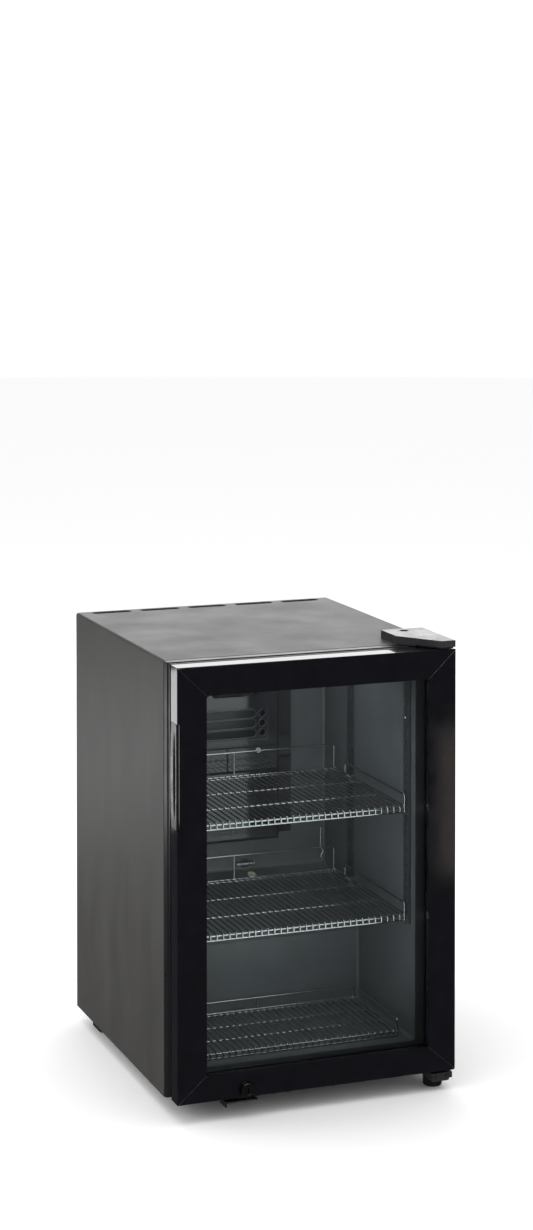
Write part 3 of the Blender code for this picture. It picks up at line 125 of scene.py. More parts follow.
# Finishes, each by the name of the record's slot that takes it. Sizes are in millimetres.
finishLooks = {
    # polyester powder coat over steel: fine orange peel, faint cloudy streaks, broad soft sheen
    "shell_paint": dict(dark="444342", light="4c4b4a", rough=0.46, roughSpread=0.05, patchSize=70,
                        grainSize=1.2, bump=0.15, specular=0.28, stretch=(1.0, 1.0, 0.35)),
    "black_paint": dict(dark="232324", light="2c2c2d", rough=0.45, roughSpread=0.06, patchSize=30,
                        grainSize=1.2, bump=0.25),
    "rear_sheet": dict(dark="3c3c3c", light="464646", rough=0.45, roughSpread=0.06, patchSize=60,
                       grainSize=1.2, bump=0.25),
    # cut polyurethane foam, only seen from below
    "foam": dict(dark="c9bd94", light="ded3ac", rough=0.9, roughSpread=0.03, patchSize=8, grainSize=1.0,
                 bump=0.6),
    # thermoformed polystyrene: satin, slightly uneven where it was drawn
    "liner_plastic": dict(dark="4a4b4f", light="515257", rough=0.38, roughSpread=0.05, patchSize=45,
                          grainSize=1.0, bump=0.15),
    "frame_plastic": dict(dark="15151a", light="1b1b20", rough=0.32, roughSpread=0.05, patchSize=40,
                          grainSize=0.9, bump=0.12, specular=0.25),
    # extruded high gloss ABS profile: nearly a black mirror with a few wipe marks
    "door_frame_gloss": dict(dark="0c0c10", light="111116", rough=0.09, roughSpread=0.03, patchSize=25,
                             grainSize=4.0, bump=0.004, specular=0.5),
    "cover_plastic": dict(dark="2c2c2e", light="343436", rough=0.28, roughSpread=0.05, patchSize=25,
                          grainSize=0.8, bump=0.04),
    "evaporator_plastic": dict(dark="1f1f23", light="26262b", rough=0.07, roughSpread=0.03, patchSize=30,
                               grainSize=3.0, bump=0.02),
    "fin_aluminium": dict(dark="b9bcc0", light="cfd2d6", rough=0.4, roughSpread=0.08, patchSize=10,
                          grainSize=0.6, bump=0.2, metallic=1.0),
    "spacer_aluminium": dict(dark="2a2a2d", light="343438", rough=0.45, roughSpread=0.05, patchSize=10,
                             grainSize=0.6, bump=0.2, metallic=1.0),
    "motor_paint": dict(dark="2a2a2b", light="323234", rough=0.5, roughSpread=0.05, patchSize=10,
                        grainSize=0.8, bump=0.25),
    "fan_plastic": dict(dark="1c1c1d", light="242425", rough=0.45, roughSpread=0.05, patchSize=12,
                        grainSize=0.8, bump=0.15),
    "drain_plastic": dict(dark="b4b4b0", light="c6c6c2", rough=0.5, roughSpread=0.05, patchSize=10,
                          grainSize=0.8, bump=0.15),
    "pan_plastic": dict(dark="a8a8a4", light="bcbcb8", rough=0.55, roughSpread=0.05, patchSize=15,
                        grainSize=0.8, bump=0.15),
    "control_plastic": dict(dark="1c1c1e", light="242426", rough=0.42, roughSpread=0.05, patchSize=15,
                            grainSize=0.7, bump=0.25),
    "switch_plastic": dict(dark="8e0f12", light="a31518", rough=0.25, roughSpread=0.04, patchSize=6,
                           grainSize=0.6, bump=0.1),
    "diffuser_plastic": dict(dark="dfe1e4", light="eceef0", rough=0.35, roughSpread=0.04, patchSize=12,
                             grainSize=0.6, bump=0.1),
    # black enamel on a pressed steel can
    "compressor_paint": dict(dark="18181a", light="202022", rough=0.35, roughSpread=0.06, patchSize=20,
                             grainSize=1.0, bump=0.2),
    # coated drawn wire: smooth grey metal under a clear coat, catches a thin bright line
    "shelf_coating": dict(dark="8e8e91", light="a0a0a3", rough=0.2, metallic=1.0, roughSpread=0.05,
                          patchSize=6, grainSize=0.5, bump=0.1, coat=0.6, specular=0.8),
    "strip_coating": dict(dark="2a2a2d", light="323235", rough=0.35, roughSpread=0.05, patchSize=12,
                          grainSize=0.7, bump=0.15),
    "clip_steel": dict(dark="a0a0a2", light="b8b8ba", rough=0.32, roughSpread=0.06, patchSize=4,
                       grainSize=0.4, bump=0.2, metallic=1.0),
    "probe_steel": dict(dark="a4a4a6", light="bcbcbe", rough=0.3, roughSpread=0.06, patchSize=4,
                        grainSize=0.4, bump=0.2, metallic=1.0),
    "screw_steel": dict(dark="9c9c9e", light="b4b4b6", rough=0.35, roughSpread=0.06, patchSize=3,
                        grainSize=0.4, bump=0.2, metallic=1.0),
    "lock_chrome": dict(dark="5a5a5c", light="6a6a6c", rough=0.3, roughSpread=0.04, patchSize=6,
                        grainSize=0.5, bump=0.05, metallic=1.0),
    # co-extruded magnetic gasket: matt and dusty looking
    "gasket_rubber": dict(dark="111112", light="18181a", rough=0.7, roughSpread=0.06, patchSize=12,
                          grainSize=0.6, bump=0.2),
    "handle_plastic": dict(dark="1f1f20", light="282829", rough=0.25, roughSpread=0.05, patchSize=18,
                           grainSize=0.8, bump=0.12),
    "hinge_paint": dict(dark="222224", light="2c2c2e", rough=0.3, roughSpread=0.06, patchSize=10,
                        grainSize=0.8, bump=0.2),
    "foot_plastic": dict(dark="19191a", light="212122", rough=0.4, roughSpread=0.06, patchSize=8,
                         grainSize=0.7, bump=0.25),
    "foot_rubber": dict(dark="141415", light="1b1b1c", rough=0.65, roughSpread=0.06, patchSize=8,
                        grainSize=0.6, bump=0.3),
    "gland_rubber": dict(dark="141415", light="1b1b1c", rough=0.65, roughSpread=0.06, patchSize=6,
                         grainSize=0.6, bump=0.3),
}


floatGlass = dict(tint="f1f4f3", wipeSize=60, wipeDetail=3.0, wipeLow=0.35, wipeHigh=0.75, haze=0.03,
                  ior=1.45)


def clearGlass(name):
    # float glass: lets light straight through with a slight green grey tint and mirrors more at a low angle
    material = emptyMaterial(name)
    place = addNode(material, "ShaderNodeTexCoord").outputs["Object"]
    wipes = addNode(material, "ShaderNodeTexNoise",
                    {"Scale": perMetre(floatGlass["wipeSize"]), "Detail": floatGlass["wipeDetail"]},
                    {"Vector": place}).outputs["Fac"]
    haze = addNode(material, "ShaderNodeMapRange",
                   {"From Min": floatGlass["wipeLow"], "From Max": floatGlass["wipeHigh"], "To Min": 0.0,
                    "To Max": floatGlass["haze"]}, {"Value": wipes}).outputs[0]
    through = addNode(material, "ShaderNodeBsdfTransparent",
                      {"Color": linearColour(floatGlass["tint"])}).outputs[0]
    mirror = addNode(material, "ShaderNodeBsdfGlossy", {"Color": (1, 1, 1, 1)},
                     {"Roughness": haze}).outputs[0]
    angle = addNode(material, "ShaderNodeFresnel", {"IOR": floatGlass["ior"]}).outputs[0]
    pane = addNode(material, "ShaderNodeMixShader", None, {0: angle, 1: through, 2: mirror}).outputs[0]
    addNode(material, "ShaderNodeOutputMaterial", None, {"Surface": pane})
    return material


finishes = {slot: surfaceFinish(slot, look) for slot, look in finishLooks.items()}
finishes["glass_clear"] = clearGlass("glass_clear")
for node, piece in frame["nodes"].items():
    piece.data.materials.clear()
    piece.data.materials.append(finishes[slotOfNode[node]])
print("finishes made,", len(finishes))


# New pieces

def link(name, data, slot, body, nodes):
    data.materials.append(finishes[slot])
    piece = bpy.data.objects.new(name, data)
    bpy.context.scene.collection.objects.link(piece)
    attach(piece, body)
    if nodes:
        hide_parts(*nodes)
    return piece


flatFrom = 0.0002    # square metres


def addPiece(name, bm, slot, body, *nodes, smoothFrom=35.0):
    mesh = bpy.data.meshes.new(name)
    for face in bm.faces:
        face.smooth = True
    bm.to_mesh(mesh)
    bm.free()
    mesh.set_sharp_from_angle(angle=math.radians(smoothFrom))
    for polygon in mesh.polygons:
        polygon.use_smooth = polygon.area < flatFrom    # broad flat faces keep their own normal
    return link(name, mesh, slot, body, nodes)


def nodeMesh(node):
    # a merged copy of a CAD node, its flat faces whole again
    bm = bmesh.new()
    bm.from_mesh(frame["nodes"][node].data)
    bmesh.ops.remove_doubles(bm, verts=bm.verts[:], dist=0.00001)
    bmesh.ops.dissolve_limit(bm, angle_limit=math.radians(1.0), verts=bm.verts[:], edges=bm.edges[:])
    return bm


def roundEdges(bm, radius, segments=2, wanted=None, sharpFrom=30.0):
    limit = math.radians(sharpFrom)
    sharp = [e for e in bm.edges if len(e.link_faces) == 2 and e.calc_face_angle(0.0) > limit
             and (wanted is None or wanted(e))]
    bmesh.ops.bevel(bm, geom=sharp, offset=radius, offset_type="OFFSET", affect="EDGES", segments=segments,
                    profile=0.5, material=-1, clamp_overlap=True)


def softened(node, radius, segments=2):
    bm = nodeMesh(node)
    roundEdges(bm, radius, segments)
    return addPiece(node + "_soft", bm, slotOfNode[node], bodyOfNode[node], node)


# CAD shapes kept as they are, with their edges broken by these radii, as a mould or a press leaves them
edgeRadii = {
    "face_frame": 0.0005, "bottom_hinge_bracket": 0.0005, "bottom_hinge_cover": 0.0006,
    "strike_bracket": 0.0004, "foot_rear_left": 0.0015, "foot_rear_right": 0.0015, "handle_insert": 0.0006,
    "door_gasket": 0.0025, "led_housing": 0.001, "led_diffuser": 0.0012, "thermostat_box": 0.0012,
    "start_relay_box": 0.0015, "condensate_pan": 0.0006, "light_switch": 0.0006, "probe_clip": 0.0004,
    "top_hinge_plate": 0.0005, "outer_glass": 0.0004, "inner_glass": 0.0004,
}
for node, radius in edgeRadii.items():
    softened(node, radius)
print("edges broken on", len(edgeRadii), "pieces")


touching = 0.0001    # metres: points closer than this to a plane lie on it

doorProfile = dict(front=0.0022, other=0.0005, frontDepth=0.003, cornerReach=0.0008,
                   members=("door_handle_stile", "door_hinge_stile", "door_top_rail", "door_bottom_rail"))


def doorMember(node):
    # the extruded profile is rounder along its outer front edge than further back
    bm = nodeMesh(node)
    door = [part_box(name) for name in doorProfile["members"]]
    low = Vector([min(box[0][k] for box in door) for k in range(3)])
    high = Vector([max(box[1][k] for box in door) for k in range(3)])

    def outerFront(e):
        a, b = (v.co for v in e.verts)
        reach = doorProfile["cornerReach"]
        atFront = max(a.y, b.y) < low.y + touching
        atSide = any(abs(a[k] - side[k]) < reach and abs(b[k] - side[k]) < reach
                     for k in (0, 2) for side in (low, high))
        return atFront and atSide

    def furtherBack(e):
        return min(v.co.y for v in e.verts) > low.y + doorProfile["frontDepth"]

    roundEdges(bm, doorProfile["front"], 4, outerFront)
    roundEdges(bm, doorProfile["other"], 2, furtherBack, 60.0)
    addPiece(node + "_extruded", bm, slotOfNode[node], bodyOfNode[node], node)


for member in doorProfile["members"]:
    doorMember(member)


def lathe(profile, centre, axis, steps=48):
    # profile is (radius, height) from one end to the other; axis is "x", "y" or "z"
    bm = bmesh.new()
    verts = [bm.verts.new((radius, 0, height)) for radius, height in profile]
    edges = [bm.edges.new(pair) for pair in zip(verts, verts[1:])]
    bmesh.ops.spin(bm, geom=verts + edges, cent=(0, 0, 0), axis=(0, 0, 1), angle=2 * math.pi, steps=steps,
                   use_merge=True)
    bmesh.ops.remove_doubles(bm, verts=bm.verts[:], dist=0.00001)
    turn = {"x": Matrix.Rotation(math.pi / 2, 4, "Y"), "y": Matrix.Rotation(-math.pi / 2, 4, "X"),
            "z": Matrix.Identity(4)}[axis]
    bmesh.ops.transform(bm, matrix=Matrix.Translation(centre) @ turn, verts=bm.verts[:])
    bmesh.ops.recalc_face_normals(bm, faces=bm.faces[:])
    return bm


def joined(parts):
    # several meshes as one piece
    whole = bmesh.new()
    for part in parts:
        mesh = bpy.data.meshes.new("part")
        part.to_mesh(mesh)
        part.free()
        whole.from_mesh(mesh)
        bpy.data.meshes.remove(mesh)
    return whole


def block(middle, size):
    bm = bmesh.new()
    bmesh.ops.create_cube(bm, size=1, matrix=Matrix.Translation(middle) @ Matrix.Diagonal((*size, 1)))
    return bm


def roundedPlate(middle, size, thin, corner, edge, segments=4):
    # thin is the axis across the plate: its corners are rounded in plan, then its edges broken
    bm = block(middle, size)
    along = "xyz".index(thin)
    upright = [e for e in bm.edges if abs((e.verts[0].co - e.verts[1].co)[along]) > size[along] / 2]
    bmesh.ops.bevel(bm, geom=upright, offset=corner, offset_type="OFFSET", affect="EDGES", segments=segments,
                    profile=0.5, material=-1)
    roundEdges(bm, edge, 2, sharpFrom=60.0)
    return bm


# Wires

def bentPath(corners, radius, steps=5):
    # straight runs joined by smooth bends that start and end a radius from each corner
    points = [Vector(corners[0])]
    for before, corner, after in zip(corners, corners[1:], corners[2:]):
        corner = Vector(corner)
        inward = (Vector(before) - corner).normalized()
        outward = (Vector(after) - corner).normalized()
        reach = min(radius, (Vector(before) - corner).length / 2, (Vector(after) - corner).length / 2)
        start = corner + inward * reach
        end = corner + outward * reach
        for k in range(steps + 1):
            share = k / steps
            points.append((1 - share) ** 2 * start + 2 * share * (1 - share) * corner + share ** 2 * end)
    points.append(Vector(corners[-1]))
    return points


def wirePiece(name, paths, radius, slot, body, *nodes, resolution=2):
    curve = bpy.data.curves.new(name, "CURVE")
    curve.dimensions = "3D"
    curve.bevel_depth = radius
    curve.bevel_resolution = resolution
    curve.use_fill_caps = True
    for path in paths:
        spline = curve.splines.new("POLY")
        spline.points.add(len(path) - 1)
        for point, place in zip(spline.points, path):
            point.co = (*place, 1.0)
    return link(name, curve, slot, body, nodes)


# pale beads along the mitres, painted highlights: their radius, inset from the outer corner, and sunk as a
# share of the radius
mitre = dict(radius=0.00035, inset=0.001, sunk=0.6)


def mitreHighlightLines():
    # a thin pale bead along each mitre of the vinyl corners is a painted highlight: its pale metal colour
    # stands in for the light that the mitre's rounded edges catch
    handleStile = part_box("door_handle_stile")
    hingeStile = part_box("door_hinge_stile")
    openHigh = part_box("door_top_rail")[0].z
    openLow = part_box("door_bottom_rail")[1].z
    face = handleStile[0].y + mitre["radius"] * mitre["sunk"]
    paths = []
    for outerX, innerX in ((handleStile[0].x, handleStile[1].x), (hingeStile[1].x, hingeStile[0].x)):
        for outerZ, innerZ in ((hingeStile[1].z, openHigh), (handleStile[0].z, openLow)):
            startX = outerX + math.copysign(mitre["inset"], innerX - outerX)
            startZ = outerZ + math.copysign(mitre["inset"], innerZ - outerZ)
            paths.append([(startX, face, startZ), (innerX, face, innerZ)])
    wirePiece("mitre_highlight_lines", paths, mitre["radius"], "fin_aluminium", "door")


mitreHighlightLines()

shelf = dict(wire=0.00125, pitch=0.010, apron=0.009, bend=0.004, frameBend=0.005, sideGuard=0.0195,
             sideGuardLength=0.233, guardPosts=3, crossRails=4)


def wireShelf(node, rearLeg):
    # welded wire shelf: the long wires lie on the cross rails and turn down over the front one
    low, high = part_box(node)
    r = shelf["wire"]
    bottom = low.z + shelf["apron"]
    deck = bottom + r
    rail = bottom - r
    front, rear = low.y + r, high.y - r
    left, right = low.x + r, high.x - r
    foot = low.z + r
    count = int((right - left) / shelf["pitch"])
    paths = []
    for k in range(count):
        x = (k - (count - 1) / 2) * shelf["pitch"]
        run = [(x, front, foot + r), (x, front, deck), (x, rear, deck)]
        if rearLeg:
            run += [(x, rear, foot + r)]
        paths.append(bentPath(run, shelf["bend"]))
    # rails under the long wires, and the one low along the front
    edge = 2 * r
    depths = [front + edge + (rear - front - 2 * edge) * k / (shelf["crossRails"] - 1)
              for k in range(shelf["crossRails"])]
    paths += [[(left, y, rail), (right, y, rail)] for y in depths]
    paths += [[(left, front + edge, foot), (right, front + edge, foot)]]
    # outer frame wire, turned down at both front corners
    frameRun = [(left, front + r, foot), (left, front + r, deck), (left, rear, deck), (right, rear, deck),
                (right, front + r, deck), (right, front + r, foot)]
    paths.append(bentPath(frameRun, shelf["frameBend"]))
    guardTop = bottom + shelf["sideGuard"] - r
    guardEnd = front + min(shelf["sideGuardLength"], rear - front - edge)
    for x in (left, right):
        sideRun = [(x, front + r, deck), (x, front + r, guardTop), (x, guardEnd, guardTop),
                   (x, guardEnd, deck)]
        paths.append(bentPath(sideRun, shelf["frameBend"]))
    guardHigh = high.z - r
    inner = right - 3 * r
    rearRun = [(-inner, rear, deck), (-inner, rear, guardHigh), (inner, rear, guardHigh), (inner, rear, deck)]
    paths.append(bentPath(rearRun, shelf["bend"]))
    for k in range(1, shelf["guardPosts"] - 1):
        x = -inner + 2 * inner * k / (shelf["guardPosts"] - 1)
        paths.append([(x, rear, deck), (x, rear, guardHigh)])
    wirePiece(node + "_wires", paths, r, slotOfNode[node], bodyOfNode[node], node)


wireShelf("upper_shelf", False)
wireShelf("lower_shelf", False)
wireShelf("floor_shelf", True)
print("shelves bent")


# Cabinet

shell = dict(lipDepth=0.006, lipWall=0.0008, lipTop=0.0011, ventLength=0.065, ventWidth=0.016,
             ventPitch=0.080, vents=5, ventFromRear=0.0137)


def ventLips():
    # the slots are pressed, so their edges turn down inside
    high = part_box("outer_shell")[1]
    parts = []
    for k in range(shell["vents"]):
        x = (k - (shell["vents"] - 1) / 2) * shell["ventPitch"]
        bm = bmesh.new()
        bmesh.ops.create_circle(bm, segments=32, radius=shell["ventWidth"] / 2 + shell["lipWall"])
        stretch = (shell["ventLength"] - shell["ventWidth"]) / 2
        for v in bm.verts:
            v.co.x += math.copysign(stretch, v.co.x)
        bmesh.ops.translate(bm, verts=bm.verts[:],
                            vec=(x, high.y - shell["ventFromRear"], high.z - shell["lipTop"]))
        made = bmesh.ops.extrude_edge_only(bm, edges=bm.edges[:])
        lower = [v for v in made["geom"] if isinstance(v, bmesh.types.BMVert)]
        bmesh.ops.translate(bm, verts=lower, vec=(0, 0, -shell["lipDepth"]))
        bmesh.ops.recalc_face_normals(bm, faces=bm.faces[:])
        bmesh.ops.solidify(bm, geom=bm.faces[:], thickness=shell["lipWall"])
        parts.append(bm)
    addPiece("vent_lips", joined(parts), "shell_paint", "cabinet")


ventLips()


def stadiumPath(x, z, halfLength, halfHeight, depth, steps=8):
    points = []
    for side in (1, -1):
        for k in range(steps + 1):
            angle = math.pi * (k / steps - 0.5)
            points.append((x + side * (halfLength - halfHeight + halfHeight * math.cos(angle)), depth,
                           z + side * halfHeight * math.sin(angle)))
    points.append(points[0])
    return points


# The slots and round holes stand in three rows, a slot in the middle and a hole to each side.
coverMould = dict(corner=0.0055, slotEdge=0.0009, slotDepth=0.0012, frontHalfWidth=0.082, cornerReach=0.0003,
                  rows=(0.465, 0.4805, 0.496), slotHalfLength=0.0425, slotHalfHeight=0.00575, holeX=0.0535,
                  holeRim=0.0062, rimWidth=0.0020, beadRadius=0.0013, grooveRadius=0.0011, grooveSunk=0.0002,
                  grooveFrom=-0.074, grooveTo=0.070, grooveHeight=0.4155)

coverScrew = dict(x=0.0456, z=0.4378, steps=24,
                  head=((0, 0.0), (0.0034, 0.0), (0.0042, -0.0006), (0.0042, -0.0022), (0.0036, -0.0027),
                        (0.0014, -0.0024), (0.0012, -0.0012), (0, -0.0012)))


def evaporatorCover():
    # vacuum formed look: generous outer corners and soft slot edges
    bm = nodeMesh("evaporator_cover")
    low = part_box("evaporator_cover")[0]
    front = low.y + touching

    def outerCorner(e):
        a, b = (v.co for v in e.verts)
        atFront = a.y < front and b.y < front
        upright = (abs(a.x - b.x) < touching
                   and abs(abs(a.x) - coverMould["frontHalfWidth"]) < coverMould["cornerReach"])
        return atFront and (upright or max(a.z, b.z) < low.z + touching)

    def slotRim(e):
        return max(v.co.y for v in e.verts) < low.y + coverMould["slotDepth"]

    roundEdges(bm, coverMould["corner"], 5, outerCorner)
    roundEdges(bm, coverMould["slotEdge"], 3, slotRim)
    addPiece("evaporator_cover_moulded", bm, "evaporator_plastic", "cabinet", "evaporator_cover")
    # raised beads round the slots and holes, and the groove across the bottom
    depth = low.y + coverMould["slotDepth"]
    halfRim = coverMould["rimWidth"] / 2
    paths = []
    for z in coverMould["rows"]:
        paths.append(stadiumPath(0, z, coverMould["slotHalfLength"] + halfRim,
                                 coverMould["slotHalfHeight"] + halfRim, depth))
    for x in (-coverMould["holeX"], coverMould["holeX"]):
        for z in coverMould["rows"]:
            paths.append(stadiumPath(x, z, coverMould["holeRim"], coverMould["holeRim"], depth))
    wirePiece("cover_beads", paths, coverMould["beadRadius"], "evaporator_plastic", "cabinet", resolution=3)
    groove = [(x, low.y + coverMould["grooveSunk"], coverMould["grooveHeight"])
              for x in (coverMould["grooveFrom"], coverMould["grooveTo"])]
    wirePiece("cover_groove", [groove], coverMould["grooveRadius"], "evaporator_plastic", "cabinet")
    screws = [lathe(coverScrew["head"], (x, low.y, coverScrew["z"]), "y", coverScrew["steps"])
              for x in (-coverScrew["x"], coverScrew["x"])]
    addPiece("cover_screws", joined(screws), "screw_steel", "cabinet")


evaporatorCover()
print("cabinet and cooling cover made")

# screwHead goes outwards from the recess over the dome to the rim, as radius and depth below the top
hingeCover = dict(edge=0.0004, sharpFrom=35.0, shankRadius=0.002, screwSteps=32,
                  screwHead=((0, 0.0012), (0.0012, 0.0012), (0.0014, 0.0002), (0.0035, 0.0005),
                             (0.0055, 0.0018), (0.0055, 0.0026), (0.002, 0.0027)))


def topHingeCover():
    bm = nodeMesh("top_hinge_cover")
    roundEdges(bm, hingeCover["edge"], 2, sharpFrom=hingeCover["sharpFrom"])
    addPiece("top_hinge_cover_moulded", bm, "cover_plastic", "cabinet", "top_hinge_cover")
    low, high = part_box("hinge_cover_screw")
    middle = (low + high) / 2
    profile = [(radius, high.z - below) for radius, below in hingeCover["screwHead"]]
    profile += [(hingeCover["shankRadius"], low.z), (0, low.z)]
    screw = lathe(profile, (middle.x, middle.y, 0), "z", hingeCover["screwSteps"])
    addPiece("hinge_screw_turned", screw, "screw_steel", "cabinet", "hinge_cover_screw")


topHingeCover()

# seats are the heights of each foot's turned shoulder, where its threaded stem starts
footTurned = dict(seats={"foot_front_right": 0.0143, "foot_front_left": 0.0222}, seatGap=0.0002,
                  threadPitch=0.0010, crest=0.0040, root=0.0036, tip=0.0030, tipChamfer=0.0006)


def frontFoot(node):
    low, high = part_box(node)
    middle = (low + high) / 2
    r = (high.x - low.x) / 2
    seat = footTurned["seats"][node]
    top = seat - footTurned["seatGap"]
    profile = [(0, 0), (r - 0.0025, 0), (r - 0.0012, 0.0006), (r, 0.0022), (r, 0.0052), (r - 0.0007, 0.0056),
               (r - 0.0007, 0.0066), (r, 0.0070), (r, seat - 0.0012), (r - 0.0010, top),
               (footTurned["crest"], top)]
    z = top
    pitch = footTurned["threadPitch"]
    while z + pitch < high.z - pitch:
        profile += [(footTurned["crest"], z + 0.3 * pitch), (footTurned["root"], z + 0.7 * pitch)]
        z += pitch
    profile += [(footTurned["root"], high.z - footTurned["tipChamfer"]), (footTurned["tip"], high.z),
                (0, high.z)]
    bm = lathe(profile, (middle.x, middle.y, 0), "z")
    addPiece(node + "_turned", bm, slotOfNode[node], bodyOfNode[node], node)


frontFoot("foot_front_right")
frontFoot("foot_front_left")


# Lock

# face is the outline of the flange, from its mouth outwards and back, each depth behind the lock's front
lock = dict(steps=64, mouth=0.0063, barrel=0.0085, flange=0.0105, flangeRear=-0.24515, plugEdge=0.0003,
            face=((0.0063, 0.0004), (0.0066, 0), (0.0088, 0), (0.0098, 0.0004), (0.0105, 0.0014),
                  (0.0105, 0.0068), (0.0101, 0.0074), (0.0105, 0.0080)))


def camLock():
    low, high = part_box("lock_body")
    middle = (low + high) / 2
    profile = [(radius, low.y + depth) for radius, depth in lock["face"]]
    profile += [(lock["flange"], lock["flangeRear"]), (lock["barrel"], lock["flangeRear"]),
                (lock["barrel"], high.y), (lock["mouth"], high.y), profile[0]]
    body = lathe(profile, (middle.x, 0, middle.z), "y", lock["steps"])
    addPiece("lock_body_turned", body, "lock_chrome", "door", "lock_body")
    bm = nodeMesh("lock_plug")
    roundEdges(bm, lock["plugEdge"], 2)
    addPiece("lock_plug_soft", bm, "lock_chrome", "lock_plug", "lock_plug")


camLock()
print("hinges, feet and lock made")


# Small things on the walls

linerMould = dict(corner=0.004, halfWidth=0.1802, rear=0.18, frontClear=0.001)


def liner():
    # the cavity is drawn from one sheet, so its inside corners are rounded
    bm = nodeMesh("inner_liner")
    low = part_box("inner_liner")[0]

    def insideCorner(e):
        a, b = (v.co for v in e.verts)
        inside = abs(a.x) < linerMould["halfWidth"] and abs(b.x) < linerMould["halfWidth"]
        return (inside and min(a.y, b.y) < linerMould["rear"] and not e.is_convex
                and max(a.y, b.y) > low.y + linerMould["frontClear"])

    roundEdges(bm, linerMould["corner"], 4, insideCorner)
    addPiece("inner_liner_formed", bm, "liner_plastic", "cabinet", "inner_liner")


liner()

label = dict(middle=(0.1798, -0.070, 0.526), size=(0.0004, 0.058, 0.026), corner=0.002, edge=0.0001)
wallPlug = dict(place=(0.1797, -0.1443, 0.533), steps=24,
                dome=((0, 0), (0.0026, 0), (0.0022, 0.0012), (0.0012, 0.0017), (0, 0.0018)))
# the capillary tube goes from the cooling unit down to the step, bent by hand
capillary = dict(radius=0.0011, bend=0.004,
                 route=((0.172, 0.1772, 0.292), (0.1705, 0.1755, 0.262), (0.1760, 0.1745, 0.254),
                        (0.1700, 0.1740, 0.247), (0.1755, 0.1738, 0.241), (0.1725, 0.1765, 0.2375)))


def wallDetails():
    plate = roundedPlate(label["middle"], label["size"], "x", label["corner"], label["edge"])
    addPiece("rating_label_blank", plate, "liner_plastic", "cabinet")
    plug = lathe(wallPlug["dome"], wallPlug["place"], "x", wallPlug["steps"])
    # turned round, so that its dome faces into the cabinet
    bmesh.ops.scale(plug, vec=(-1, 1, 1), space=Matrix.Translation((-wallPlug["place"][0], 0, 0)),
                    verts=plug.verts[:])
    bmesh.ops.reverse_faces(plug, faces=plug.faces[:])
    addPiece("wall_plug", plug, "diffuser_plastic", "cabinet")
    tube = bentPath(capillary["route"], capillary["bend"])
    wirePiece("capillary_tube", [tube], capillary["radius"], "probe_steel", "cabinet", resolution=3)


wallDetails()
print("wall details made")


# Back of the cabinet

rearScrew = dict(x=0.205, topX=0.10, grilleX=0.09, waist=0.42, fromEdge=0.012, grilleLow=0.060,
                 grilleEdge=0.010, sunk=0.0004, steps=20,
                 head=((0, 0.0009), (0.0009, 0.0010), (0.0012, 0.0018), (0.0026, 0.0014), (0.0035, 0.0007),
                       (0.0037, 0.0), (0, 0.0)))


def rearScrews():
    low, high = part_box("rear_panel")
    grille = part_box("compressor_grille")
    edge = rearScrew["fromEdge"]
    column = (high.z - edge, rearScrew["waist"], low.z + edge, grille[1].z - edge,
              grille[0].z + rearScrew["grilleLow"])
    spots = [(rearScrew["x"], z) for z in column]
    spots += [(rearScrew["topX"], high.z - edge),
              (rearScrew["grilleX"], grille[0].z + rearScrew["grilleEdge"])]
    heads = [lathe(rearScrew["head"], (side * x, high.y - rearScrew["sunk"], z), "y", rearScrew["steps"])
             for side in (-1, 1) for x, z in spots]
    addPiece("rear_screws", joined(heads), "screw_steel", "cabinet")


rearScrews()

# Radii are shares of the can's radius. The lower half's heights are in metres and the upper half's are shares
# of the can's height. The full radius is the weld seam's.
can = dict(lower=((0, 0.012), (0.60, 0.0125), (0.86, 0.015), (0.97, 0.022), (0.985, 0.034)),
           upper=((0.985, 0.52), (1, 0.53), (1, 0.57), (0.985, 0.58), (0.975, 0.70), (0.93, 0.80),
                  (0.80, 0.90), (0.55, 0.965), (0.25, 0.995), (0, 1)),
           steps=64, plateHeight=0.0078, plateWall=0.0024, plateCorner=0.012, plateEdge=0.0006,
           plateSide=0.002, plateFront=0.014, grommetX=0.011, grommetY=0.017, grommetSteps=20,
           grommet=((0, 0), (0.0062, 0), (0.007, 0.0008), (0.007, 0.0030), (0.0052, 0.0036), (0.0052, 0.0050),
                    (0.007, 0.0056), (0.0066, 0.0072), (0, 0.0072)))


def compressorCan():
    low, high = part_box("compressor")
    x, y = (low.x + high.x) / 2, (low.y + high.y) / 2
    tall = high.z - low.z
    r = (high.x - low.x) / 2
    profile = [(r * share, low.z + height) for share, height in can["lower"]]
    profile += [(r * share, low.z + tall * height) for share, height in can["upper"]]
    parts = [lathe(profile, (x, y, 0), "z", can["steps"])]
    plateSize = (2 * r - can["plateSide"], 2 * r - can["plateFront"], can["plateWall"])
    parts.append(roundedPlate((x, y, low.z + can["plateHeight"]), plateSize, "z", can["plateCorner"],
                              can["plateEdge"]))
    grommet = [(radius, low.z + height) for radius, height in can["grommet"]]
    for i in (-1, 1):
        for j in (-1, 1):
            place = (x + i * (r - can["grommetX"]), y + j * (r - can["grommetY"]), 0)
            parts.append(lathe(grommet, place, "z", can["grommetSteps"]))
    addPiece("compressor_can", joined(parts), "compressor_paint", "cabinet", "compressor")


compressorCan()

fins = dict(count=42, wall=0.0003, inset=0.0005, tube=0.0035, rows=5, rowInset=0.014, endInset=0.003,
            bend=0.012)


